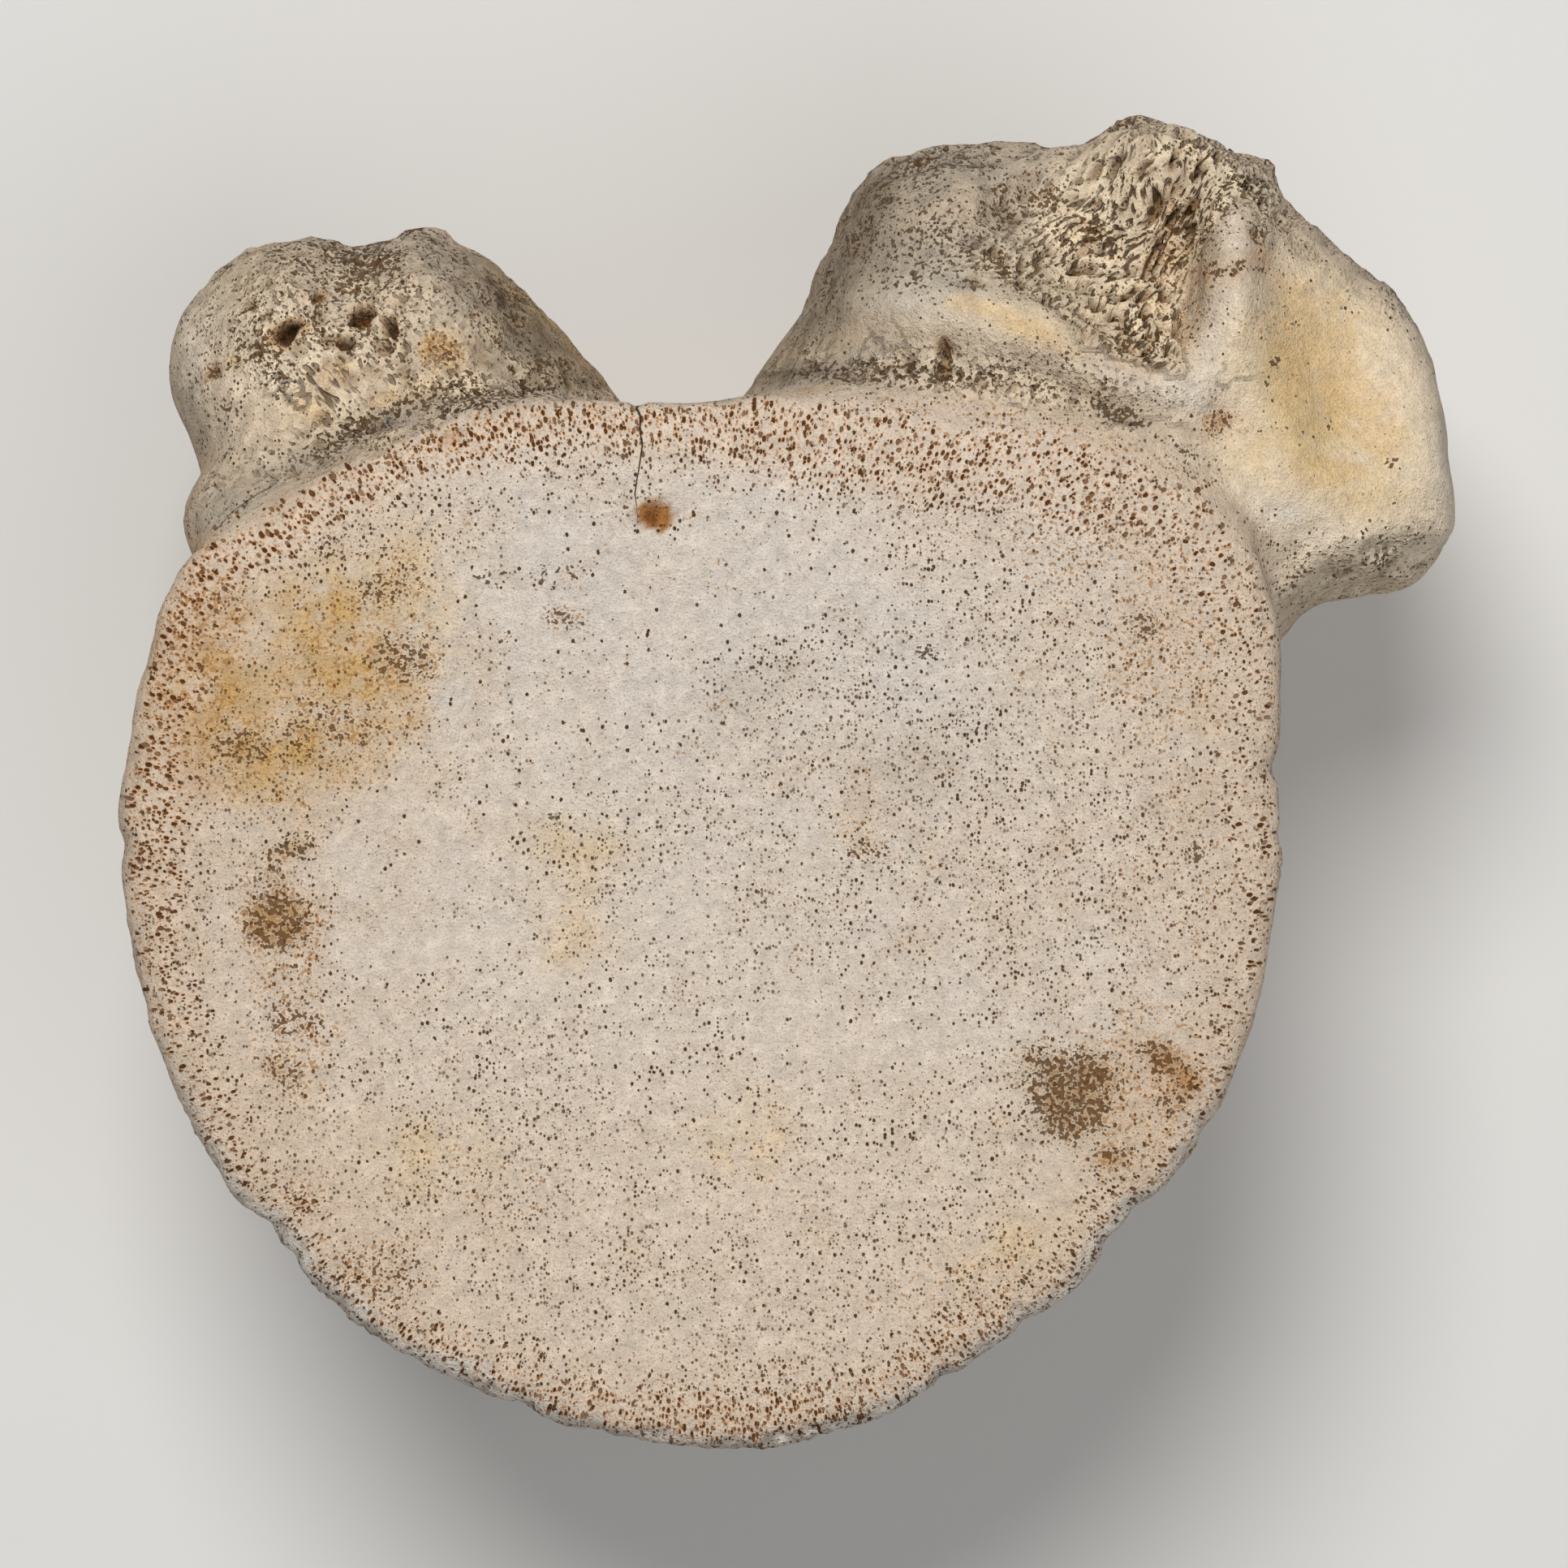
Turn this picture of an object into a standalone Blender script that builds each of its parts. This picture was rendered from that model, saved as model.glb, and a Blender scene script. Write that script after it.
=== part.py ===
"""Fossil plesiosaur trunk vertebra, one solid, lying on its rear articular face.

The centrum's axis is Z, with the front articular face up. +Y is the side of the
neural arch and +X the side that keeps its transverse process. Sizes are in
millimetres round the centrum's axis, and the finished solid is moved so that the
origin is at the bottom centre of its bounds.
"""

import math

import bmesh
import bpy
import numpy as np
from mathutils import Matrix, Vector, noise

MM = 0.001

# Rim of the articular face, as angle in degrees and radius, anticlockwise from +X
RIM = (
    (5, 37.8),
    (15, 38.3),
    (23, 40.8),
    (28, 42.5),
    (33, 43.6),
    (40, 43.6),
    (46, 42.2),
    (53, 40.5),
    (62, 38.2),
    (70, 36.7),
    (82, 35.3),
    (97, 35.1),
    (112, 37.0),
    (127, 38.2),
    (138, 39.7),
    (144, 41.8),
    (149, 41.4),
    (160, 39.5),
    (169, 38.9),
    (177, 37.8),
    (191, 36.7),
    (205, 35.4),
    (211, 35.1),
    (216, 33.9),
    (222, 34.6),
    (234, 34.2),
    (243, 33.4),
    (252, 33.9),
    (275, 34.0),
    (292, 33.8),
    (305, 33.0),
    (316, 34.0),
    (325, 33.2),
    (331, 34.7),
    (345, 36.0),
)

# Centrum
CENTRUM_WIDTH = 75.0
CENTRUM_LENGTH = 52.0
WAIST = 0.085
FRONT_DISH = 1.5
REAR_DISH = 2.2
REST_BAND = (0.80, 0.92)
RIM_ROUND = 2.1
RIM_STEPS = 4
SEGMENTS = 150
WORN_FROM = 40.0

# Neural canal, the trough that runs along the top of the centrum
CANAL_X = -1.6
CANAL_HALF_WIDTH = 7.0
CANAL_DIP = 4.0

# Left arch stump: its outline from the front, with its root in the centrum
LEFT_STUMP = (
    (-33.0, 24.0),
    (-33.9, 30.0),
    (-36.3, 36.5),
    (-35.2, 40.9),
    (-31.5, 44.5),
    (-27.0, 46.2),
    (-23.2, 44.6),
    (-19.4, 46.5),
    (-14.4, 43.9),
    (-9.1, 38.6),
    (-5.8, 33.8),
    (-7.0, 26.0),
    (-20.0, 20.0),
)
LEFT_ROOT = (-20.0, 27.0)
# Height above the rest plane, then the share of the outline that is there
LEFT_DEPTHS = (
    (5.0, 0.45),
    (8.0, 0.70),
    (14.0, 0.90),
    (22.0, 0.98),
    (33.0, 1.00),
    (38.0, 0.95),
    (42.0, 0.84),
    (45.0, 0.68),
    (47.0, 0.45),
)

# Right arch stump, taller, with the foot of the arch roof on it
RIGHT_STUMP = (
    (5.5, 27.0),
    (2.3, 34.2),
    (5.9, 39.9),
    (9.6, 48.4),
    (12.8, 51.2),
    (18.5, 51.9),
    (26.5, 51.6),
    (33.0, 51.5),
    (37.8, 50.5),
    (38.2, 46.9),
    (39.0, 38.0),
    (38.0, 26.0),
    (22.0, 20.0),
)
RIGHT_ROOT = (21.5, 30.0)
RIGHT_DEPTHS = (
    (4.5, 0.40),
    (8.0, 0.68),
    (14.0, 0.88),
    (22.0, 0.97),
    (34.0, 1.00),
    (40.0, 0.97),
    (44.5, 0.89),
    (48.0, 0.72),
    (50.0, 0.50),
)

# Transverse process, whose outer end is the rib facet
PROCESS = (
    (30.0, 40.0),
    (38.2, 46.9),
    (43.5, 43.5),
    (47.3, 39.5),
    (49.0, 33.8),
    (49.9, 27.9),
    (49.2, 25.0),
    (46.6, 22.2),
    (41.8, 21.9),
    (38.6, 19.4),
    (33.0, 12.0),
    (27.0, 24.0),
)
PROCESS_ROOT = (33.0, 31.0)
PROCESS_DEPTHS = (
    (14.5, 0.35),
    (17.5, 0.68),
    (21.5, 0.90),
    (27.0, 1.00),
    (36.0, 1.00),
    (41.0, 0.94),
    (44.5, 0.81),
    (47.0, 0.58),
    (48.5, 0.32),
)

# Rounded lumps that stand on the bone: centre, half sizes
ARCH_KNOB = ((29.0, 48.8, 39.0), (4.8, 4.6, 6.5))
SHOULDER = ((-28.9, 26.4, 40.5), (5.7, 4.9, 8.6))
LUMPS = (ARCH_KNOB, SHOULDER)

# Hollows in the ends of the two processes: centre, half sizes
RIB_FACET = ((67.6, 31.0, 30.0), (19.5, 21.0, 20.0))
LEFT_SCAR = ((-49.0, 35.4, 26.0), (14.8, 16.0, 19.0))
HOLLOWS = (RIB_FACET, LEFT_SCAR)

# Relief on the front of the arch: X, Y, half length, half width, direction of its
# length in degrees, and how far it lifts the surface
RELIEF = (
    (21.5, 37.8, 13.5, 4.2, -16, 1.9),
    (34.6, 40.6, 9.5, 2.9, 94, 3.4),
    (24.8, 44.0, 11.5, 6.8, -32, -5.2),
    (31.2, 42.2, 7.5, 3.0, 82, -3.4),
    (17.0, 47.0, 8.0, 3.0, 8, 1.2),
    (30.0, 50.0, 6.0, 3.6, -8, 2.2),
    (41.6, 35.6, 9.5, 4.8, 100, -2.6),
    (47.8, 31.5, 8.5, 2.2, 96, 1.6),
    (44.5, 23.6, 5.0, 2.4, 12, -1.4),
    (16.0, 35.6, 12.0, 1.9, -5, -0.8),
    (-27.5, 41.6, 6.5, 4.6, 60, 1.8),
    (-18.0, 42.2, 7.0, 3.8, -30, 1.6),
    (-23.0, 43.6, 4.4, 2.0, 95, -1.6),
    (-24.0, 31.6, 12.0, 1.8, 22, -1.4),
)
RELIEF_LOWEST = 30.0

# Blood vessel holes low on the centrum: X, height, half sizes across and along
FORAMINA = ((-7.5, 25.0, 1.7, 2.6), (6.5, 27.0, 1.5, 2.4))
FORAMEN_DEPTH = 3.0

# Where the bone is broken open and rough: centre, then reach along each axis
BROKEN = (
    ((-22.0, 40.0, 44.0), (16.0, 12.0, 12.0)),
    ((-23.0, 47.0, 26.0), (14.0, 6.0, 26.0)),
    ((-36.0, 35.0, 26.0), (6.0, 11.0, 16.0)),
    ((26.0, 45.0, 45.0), (13.0, 10.0, 10.0)),
    ((24.0, 52.0, 27.0), (18.0, 7.0, 26.0)),
    ((45.0, 22.5, 36.0), (8.0, 5.0, 12.0)),
)

# Unevenness of the skin: size of the lumps, then how far they move it
SKIN_LUMPS = ((9.0, 0.14), (3.4, 0.16))
SIDE_LUMPS = (9.0, 0.35)
BROKEN_LUMPS = ((3.6, 0.75), (1.9, 0.5))

# Surface
VOXEL = 0.9
FIRST_SMOOTHING = 3
LAST_SMOOTHING = 2
MOST_TRIANGLES = 8800
REST_SNAP = 0.3
REST_BLEND = 1.2


def remove_startup_objects():
    for obj in list(bpy.data.objects):
        bpy.data.objects.remove(obj)


def add_object(name, bm):
    """A mesh object made of the bmesh, in the scene and not yet coloured."""
    bmesh.ops.recalc_face_normals(bm, faces=bm.faces)
    mesh = bpy.data.meshes.new(name)
    bm.to_mesh(mesh)
    bm.free()
    obj = bpy.data.objects.new(name, mesh)
    bpy.context.scene.collection.objects.link(obj)
    return obj


def make_helper(obj):
    obj.hide_render = True
    obj.display_type = "WIRE"
    return obj


def loft(name, loops):
    """A closed body through loops of equal length, with a flat cap at each end."""
    bm = bmesh.new()
    rows = [[bm.verts.new(point) for point in loop] for loop in loops]
    for low, high in zip(rows, rows[1:]):
        for i in range(len(low)):
            j = (i + 1) % len(low)
            bm.faces.new((low[i], low[j], high[j], high[i]))
    bm.faces.new(reversed(rows[0]))
    bm.faces.new(rows[-1])
    return add_object(name, bm)


def closed_curve(corners, per_span=6):
    """Points of a smooth closed curve through the corners."""
    spots = np.array(corners, float)
    before, after = np.roll(spots, 1, axis=0), np.roll(spots, -1, axis=0)
    beyond = np.roll(spots, -2, axis=0)
    made = []
    for p0, p1, p2, p3 in zip(before, spots, after, beyond):
        for step in range(per_span):
            t = step / per_span
            made.append(
                0.5
                * (
                    2 * p1
                    + (p2 - p0) * t
                    + (2 * p0 - 5 * p1 + 4 * p2 - p3) * t**2
                    + (3 * p1 - p0 - 3 * p2 + p3) * t**3
                )
            )
    return np.array(made)


def rim_radii():
    """The rim's radius at each of the centrum's segments."""
    spots = [
        (radius * math.cos(math.radians(angle)), radius * math.sin(math.radians(angle)))
        for angle, radius in RIM
    ]
    curve = closed_curve(spots)
    angles = np.unwrap(np.arctan2(curve[:, 1], curve[:, 0]))
    wanted = np.linspace(0, 2 * math.pi, SEGMENTS, endpoint=False)
    return np.interp(wanted, angles, np.hypot(*curve.T), period=2 * math.pi)


def soften_round(radii, reach=9):
    """The radii evened out over their neighbours, as on the parts behind the rim."""
    shifted = [np.roll(radii, step) for step in range(-reach, reach + 1)]
    return sum(shifted) / len(shifted)


def waist(angle, share):
    """The narrowing between the two rims, 1 at a rim. It is less under the keel."""
    keel = 1 - 0.35 * max(0.0, -math.sin(angle))
    return 1 - WAIST * keel * math.sin(math.pi * share) ** 1.5


def centrum_profile():
    """(share of the radius, height) from the rear centre to the front centre."""
    inner, outer = REST_BAND
    rear = [(r, REAR_DISH * (1 - (r / inner) ** 2)) for r in (0.05, 0.25, 0.5, 0.7)]
    rear += [(inner, 0.0), (outer, 0.0)]
    sides = [
        (1.0, RIM_ROUND + step * (CENTRUM_LENGTH - 2 * RIM_ROUND) / 14)
        for step in range(15)
    ]
    front_edge = 1 - 2 * RIM_ROUND / CENTRUM_WIDTH
    quarter = math.pi / 2 / RIM_STEPS
    rounding = [
        (
            front_edge + (1 - front_edge) * math.cos(step * quarter),
            CENTRUM_LENGTH - RIM_ROUND * (1 - math.sin(step * quarter)),
        )
        for step in range(1, RIM_STEPS + 1)
    ]
    front = [
        (r, CENTRUM_LENGTH - FRONT_DISH * (1 - (r / front_edge) ** 2) ** 1.5)
        for r in (0.85, 0.7, 0.5, 0.25, 0.05)
    ]
    return rear + sides + rounding + front


def canal_dip(x, y, z):
    """How far the floor of the neural canal lies under the rims' top edge."""
    across = (x - CANAL_X) / CANAL_HALF_WIDTH
    along = math.sin(math.pi * min(1.0, max(0.0, z / CENTRUM_LENGTH)))
    near_top = min(1.0, max(0.0, (y - 20) / 10))
    return CANAL_DIP * math.exp(-across * across) * along**0.7 * near_top


def make_centrum():
    worn = rim_radii()
    even = soften_round(worn)
    loops = []
    for share, z in centrum_profile():
        loop = []
        near_front = min(1.0, max(0.0, (z - WORN_FROM) / (CENTRUM_LENGTH - WORN_FROM)))
        for i, rim in enumerate(even + (worn - even) * near_front):
            angle = 2 * math.pi * i / SEGMENTS
            radius = rim * share
            radius *= waist(angle, z / CENTRUM_LENGTH) if share > 0.95 else 1
            x, y = radius * math.cos(angle), radius * math.sin(angle)
            y -= canal_dip(x, y, z) if share > 0.95 else 0
            loop.append(Vector((x, y, z)) * MM)
        loops.append(loop)
    return loft("vertebra", loops)


def make_stump(name, corners, root, depths):
    """A stump whose outline grows out of its root from the front to mid length."""
    outline = closed_curve(corners)
    centre = np.array(root)
    loops = []
    for z, share in depths:
        flat = centre + (outline - centre) * share
        loops.append([Vector((x, y, z)) * MM for x, y in flat])
    return make_helper(loft(name, loops))


def make_lump(name, centre, half_sizes):
    """An ellipsoid."""
    bm = bmesh.new()
    stretch = Matrix.Diagonal(Vector((*half_sizes, 1 / MM)) * MM)
    place = Matrix.Translation(Vector(centre) * MM) @ stretch
    bmesh.ops.create_icosphere(bm, subdivisions=4, radius=1.0, matrix=place)
    return make_helper(add_object(name, bm))


def apply_boolean(obj, other, operation):
    modifier = obj.modifiers.new(other.name, "BOOLEAN")
    modifier.object = other
    modifier.operation = operation
    modifier.solver = "EXACT"


def bake_modifiers(obj):
    """Replaces the object's mesh by what its modifiers make of it."""
    bpy.context.view_layer.update()
    graph = bpy.context.evaluated_depsgraph_get()
    made = bpy.data.meshes.new_from_object(obj.evaluated_get(graph))
    obj.modifiers.clear()
    obj.data = made


def grow_skin(obj, smooth_rounds):
    """One even skin over the joined forms, with their creases softened."""
    remesh = obj.modifiers.new("skin", "REMESH")
    remesh.mode = "VOXEL"
    remesh.voxel_size = VOXEL * MM
    smooth = obj.modifiers.new("soften", "SMOOTH")
    smooth.factor = 0.5
    smooth.iterations = smooth_rounds
    bake_modifiers(obj)


def points_of(obj):
    """The object's vertices in millimetres, one row each."""
    points = np.empty(len(obj.data.vertices) * 3)
    obj.data.vertices.foreach_get("co", points)
    return points.reshape(-1, 3) / MM


def put_points(obj, points):
    obj.data.vertices.foreach_set("co", (points * MM).ravel())
    obj.data.update()


def falloff(distance):
    """1 at no distance, easing to 0 at a distance of 1."""
    t = np.clip(1 - distance, 0, 1)
    return t * t * (3 - 2 * t)


def noise_of(points, size, seed):
    """Smooth noise from -1 to 1 with lumps of that size, in millimetres."""
    shift = Vector((seed * 17.3, seed * 5.1, seed * 9.7))
    return np.array([noise.noise(Vector(p) / size + shift) for p in points])


def shape_front(obj):
    """Lifts and sinks the front of the arch, outside the articular face."""
    points = points_of(obj)
    normals = np.array([v.normal for v in obj.data.vertices])
    x, y, z = points.T
    angles = np.degrees(np.arctan2(y, x)) % 360
    rim = np.interp(angles, *np.array(RIM).T, period=360)
    outside = np.clip((np.hypot(x, y) / rim - 0.95) / 0.05, 0, 1)
    facing = np.clip(normals[:, 2] * 2, 0, 1) * np.clip((z - RELIEF_LOWEST) / 6, 0, 1)
    lift = np.zeros(len(points))
    for at_x, at_y, length, width, turn, height in RELIEF:
        c, s = math.cos(math.radians(turn)), math.sin(math.radians(turn))
        along = (x - at_x) * c + (y - at_y) * s
        across = (y - at_y) * c - (x - at_x) * s
        lift += height * falloff(np.hypot(along / length, across / width))
    points[:, 2] += lift * outside * facing
    put_points(obj, points)


def foramen_depth(points):
    """Depth of the two vessel holes on the underside of the centrum."""
    depth = np.zeros(len(points))
    below = points[:, 1] < -20
    for x, z, across, along in FORAMINA:
        away = np.hypot((points[:, 0] - x) / across, (points[:, 2] - z) / along)
        depth += FORAMEN_DEPTH * falloff(away / 1.6) * below
    return depth


def broken_share(points):
    """1 where the bone is broken open, 0 on the outer skin."""
    share = np.zeros(len(points))
    for centre, reach in BROKEN:
        away = np.linalg.norm((points - centre) / reach, axis=1)
        share += falloff(away / 1.2)
    return np.clip(share * 1.4, 0, 1)


def wear_surface(obj):
    """Moves the skin in and out: broad lumps everywhere, rough where it is broken."""
    points = points_of(obj)
    normals = np.array([v.normal for v in obj.data.vertices])
    half = CENTRUM_LENGTH / 2
    beside = falloff(np.abs(points[:, 2] - half) / half)
    move = beside * SIDE_LUMPS[1] * noise_of(points, SIDE_LUMPS[0], 1)
    for seed, (size, depth) in enumerate(SKIN_LUMPS, 2):
        move += depth * noise_of(points, size, seed)
    broken = broken_share(points)
    for seed, (size, depth) in enumerate(BROKEN_LUMPS, 4):
        move += broken * depth * noise_of(points, size, seed)
    move -= foramen_depth(points)
    put_points(obj, points + normals * move[:, None])


def flatten_rest(obj):
    """Presses the lowest skin flat, so that the rest band is one plane."""
    points = points_of(obj)
    z = points[:, 2]
    pressed = (z - REST_SNAP) * REST_BLEND / (REST_BLEND - REST_SNAP)
    points[:, 2] = np.where(z < REST_BLEND, np.maximum(pressed, 0.0), z)
    put_points(obj, points)


def thin_out(obj):
    triangles = sum(len(face.vertices) - 2 for face in obj.data.polygons)
    decimate = obj.modifiers.new("thin out", "DECIMATE")
    decimate.ratio = MOST_TRIANGLES / triangles
    decimate.use_collapse_triangulate = True
    bake_modifiers(obj)


def centre_on_origin(obj):
    corners = points_of(obj)
    low, high = corners.min(axis=0), corners.max(axis=0)
    middle = (low + high) / 2
    put_points(obj, corners - (middle[0], middle[1], low[2]))


def bone_material():
    material = bpy.data.materials.new("fossil_bone")
    material.use_nodes = True
    shader = material.node_tree.nodes["Principled BSDF"]
    shader.inputs["Base Color"].default_value = (0.62, 0.53, 0.42, 1)
    shader.inputs["Roughness"].default_value = 0.8
    shader.inputs["Metallic"].default_value = 0.0
    return material


def main():
    remove_startup_objects()
    bone = make_centrum()
    for name, corners, root, depths in (
        ("left_stump", LEFT_STUMP, LEFT_ROOT, LEFT_DEPTHS),
        ("right_stump", RIGHT_STUMP, RIGHT_ROOT, RIGHT_DEPTHS),
        ("process", PROCESS, PROCESS_ROOT, PROCESS_DEPTHS),
    ):
        apply_boolean(bone, make_stump(name, corners, root, depths), "UNION")
    for number, lump in enumerate(LUMPS):
        apply_boolean(bone, make_lump(f"lump_{number}", *lump), "UNION")
    for number, hollow in enumerate(HOLLOWS):
        apply_boolean(bone, make_lump(f"hollow_{number}", *hollow), "DIFFERENCE")
    bake_modifiers(bone)
    grow_skin(bone, FIRST_SMOOTHING)
    shape_front(bone)
    grow_skin(bone, LAST_SMOOTHING)
    wear_surface(bone)
    flatten_rest(bone)
    thin_out(bone)
    flatten_rest(bone)
    centre_on_origin(bone)
    bone.data.materials.append(bone_material())
    bone.data.shade_smooth()


main()
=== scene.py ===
"""Looks of the fossil plesiosaur vertebra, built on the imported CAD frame.

The bone is one piece. Its mesh is a finer copy of the CAD solid, worn and broken
open in relief, and carries its tints and pore patterns as point attributes that
the material reads. Sizes are in millimetres round the centrum's axis: +Z is the
front articular face's side, +Y the neural arch's, +X the side of the process.
"""

import math
from itertools import product

import bmesh
import bpy
import numpy as np
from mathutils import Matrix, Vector


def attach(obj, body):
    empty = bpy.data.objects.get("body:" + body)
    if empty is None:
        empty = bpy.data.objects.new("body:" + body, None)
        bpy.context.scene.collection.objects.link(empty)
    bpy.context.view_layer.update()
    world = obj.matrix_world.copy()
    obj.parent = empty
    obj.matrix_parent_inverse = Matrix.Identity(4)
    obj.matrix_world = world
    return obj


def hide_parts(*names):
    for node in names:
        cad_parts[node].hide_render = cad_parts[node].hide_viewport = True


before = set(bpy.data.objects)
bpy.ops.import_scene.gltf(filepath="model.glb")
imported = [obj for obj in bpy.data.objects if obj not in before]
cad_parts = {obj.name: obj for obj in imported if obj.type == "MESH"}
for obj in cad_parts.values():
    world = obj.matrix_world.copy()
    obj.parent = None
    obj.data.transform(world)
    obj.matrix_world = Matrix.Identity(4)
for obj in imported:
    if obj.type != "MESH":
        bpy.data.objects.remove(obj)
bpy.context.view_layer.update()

MM = 0.001
AXIS = np.array((-5.823, -9.711, 0.0))

# Mesh density, before the two finer steps on the side that the photograph shows
VOXEL = 0.86
FIRST_SMOOTHING = 5
STEP_SMOOTHING = 2

# Rim of the front face: angle in degrees and radius, anticlockwise from +X
RIM = (
    (5, 37.8), (15, 38.3), (23, 40.8), (28, 42.5), (33, 43.6), (40, 43.6),
    (46, 42.2), (53, 40.5), (62, 38.2), (70, 36.7), (82, 35.3), (97, 35.1),
    (112, 37.0), (127, 38.2), (138, 39.7), (144, 41.8), (149, 41.4), (160, 39.5),
    (169, 38.9), (177, 37.8), (191, 36.7), (205, 35.4), (211, 35.1), (216, 33.9),
    (222, 34.6), (234, 34.2), (243, 33.4), (252, 33.9), (275, 34.0), (292, 33.8),
    (305, 33.0), (316, 34.0), (325, 33.2), (331, 34.7), (345, 36.0),
)
# Band of coarse pores along the rim: angle, where it starts and ends inside the rim, weight
PORE_BAND = (
    (0, 0.2, 4.0, 0.45), (25, 0.4, 6.0, 0.5), (45, 1.2, 8.0, 0.7), (60, 2.0, 8.2, 0.95),
    (75, 1.6, 8.2, 1.0), (92, 0.4, 5.8, 1.0), (110, 0.3, 5.5, 1.0), (125, 0.4, 4.8, 0.95),
    (147, 0.4, 5.4, 1.0), (165, 0.2, 5.8, 1.0), (185, 0.0, 4.6, 0.8), (210, 0.0, 4.0, 0.65),
    (240, 0.0, 4.2, 0.75), (270, 0.0, 4.8, 1.0), (300, 0.0, 4.4, 0.8), (330, 0.0, 3.6, 0.6),
)

# Colours, linear
IVORY = (0.705, 0.63, 0.555)
CREAM = (0.735, 0.625, 0.515)
SAND = (0.64, 0.485, 0.34)
TAN = (0.50, 0.37, 0.255)
ORANGE = (0.50, 0.27, 0.11)
OCHRE = (0.60, 0.37, 0.12)
YELLOW = (0.72, 0.52, 0.26)
GREY = (0.37, 0.332, 0.28)
SLATE = (0.25, 0.225, 0.195)
PALE_EDGE = (0.74, 0.66, 0.57)
# Pale bone between the rim's coarse pores, with a painted highlight
LIT_EDGE_WHITE = (0.76, 0.71, 0.64)
# The worn bevel's pale colour, made paler as painted light
LIT_BAND_WHITE = (0.84, 0.72, 0.60)
DEEP_OCHRE = (0.52, 0.33, 0.13)
MOSS_BROWN = (0.36, 0.28, 0.17)
RUST_BROWN = (0.46, 0.22, 0.06)
RUST_SPOT = (0.37, 0.15, 0.03)
RUST_CORE = (0.17, 0.055, 0.012)
ARCH_TAN = (0.66, 0.53, 0.385)
SMOOTH_CREAM = (0.84, 0.70, 0.52)
BROKEN_CREAM = (0.84, 0.72, 0.56)
STUMP_CREAM = (0.86, 0.73, 0.56)
LIP_CREAM = (0.82, 0.70, 0.53)
GOLD = (0.73, 0.50, 0.25)
HOLLOW_GOLD = (0.54, 0.31, 0.105)
# Painted shade for the arch's steep sides
STEEP_SHADE_BROWN = (0.36, 0.305, 0.235)
# Painted shade for the walls of the neural canal
CANAL_SHADE_BROWN = (0.14, 0.10, 0.058)
PIT_ORANGE = (0.56, 0.30, 0.11)
PIT_DARK = (0.06, 0.028, 0.010)
VESSEL_DARK = (0.09, 0.05, 0.022)
# Painted shade in the hollows of the spongy bone
GAP_SHADE_BROWN = (0.23, 0.13, 0.052)
# The spongy bone's ridges: their pale colour with a painted highlight
RIDGE_LIT_CREAM = (0.90, 0.745, 0.53)
# Colours of the fine patterns in the material; where there are two, the second is where it rusts
FINE_PORE = ((0.085, 0.046, 0.020), (0.20, 0.085, 0.020))
DARK_GRAIN = ((0.12, 0.069, 0.030), (0.17, 0.068, 0.014))
OCHRE_GRAIN = (0.42, 0.20, 0.055)
SPECK = (0.30, 0.20, 0.12)
RIM_HALO = (0.62, 0.28, 0.08)
FINE_HALO = (0.46, 0.30, 0.16)
RIM_PORE = (0.10, 0.036, 0.009)
# Painted shade in the gaps between the spongy bone's plates
SHADE_IN_PLATE_GAPS = (0.085, 0.042, 0.015)
CRACK = (0.05, 0.035, 0.022)


# ---------------------------------------------------------------- noise

def hashed(cells, seed):
    """A repeatable random whole number for each lattice cell."""
    x, y, z = (cells[:, i].astype(np.int64) for i in range(3))
    h = (x * 374761393 + y * 668265263 + z * 1442695041 + seed * 974711977).astype(np.uint32)
    h = (h ^ (h >> np.uint32(13))) * np.uint32(1274126177)
    h = (h ^ (h >> np.uint32(15))) * np.uint32(2246822519)
    return h ^ (h >> np.uint32(16))


def spread(h):
    """Three numbers from 0 to 1 out of each random whole number."""
    parts = [(h >> np.uint32(shift)) & np.uint32(1023) for shift in (0, 10, 20)]
    return np.stack(parts, axis=1) / 1023.0


def noise(points, size, seed):
    """Smooth noise of about -1 to 1, with lumps of the given size."""
    spots = points / np.asarray(size, float)
    cell = np.floor(spots)
    part = spots - cell
    fade = part**3 * (part * (part * 6 - 15) + 10)
    total = np.zeros(len(points))
    for corner in product((0, 1), repeat=3):
        slope = spread(hashed(cell + corner, seed)) * 2 - 1
        share = np.prod(np.where(corner, fade, 1 - fade), axis=1)
        total += share * np.sum(slope * (part - corner), axis=1)
    return total * 1.6


def layered(points, size, seed, layers=3):
    """Noise with finer and weaker lumps added."""
    total = np.zeros(len(points))
    size = np.asarray(size, float)
    for i in range(layers):
        total += noise(points, size / 2**i, seed + i) * 0.5**i
    return total


def cell_gaps(points, seed):
    """Distances to the nearest and second nearest scattered point, and its random numbers."""
    base = np.floor(points)
    first = np.full(len(points), 9.0)
    second = np.full(len(points), 9.0)
    owner = np.zeros((len(points), 3))
    for step in product((-1, 0, 1), repeat=3):
        cell = base + step
        picks = spread(hashed(cell, seed))
        gap = np.linalg.norm(cell + picks - points, axis=1)
        nearer = gap < first
        second = np.where(nearer, first, np.minimum(second, gap))
        owner[nearer] = picks[nearer]
        first = np.where(nearer, gap, first)
    return first, second, owner


def ramp(value, low, high):
    """0 below low and 1 above high, smooth between."""
    t = np.clip((value - low) / (high - low), 0, 1)
    return t * t * (3 - 2 * t)


def blend(base, colour, share):
    """The base with the colour laid over it by the share from 0 to 1."""
    share = np.clip(share, 0, 1)[:, None]
    return base * (1 - share) + np.array(colour) * share


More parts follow.
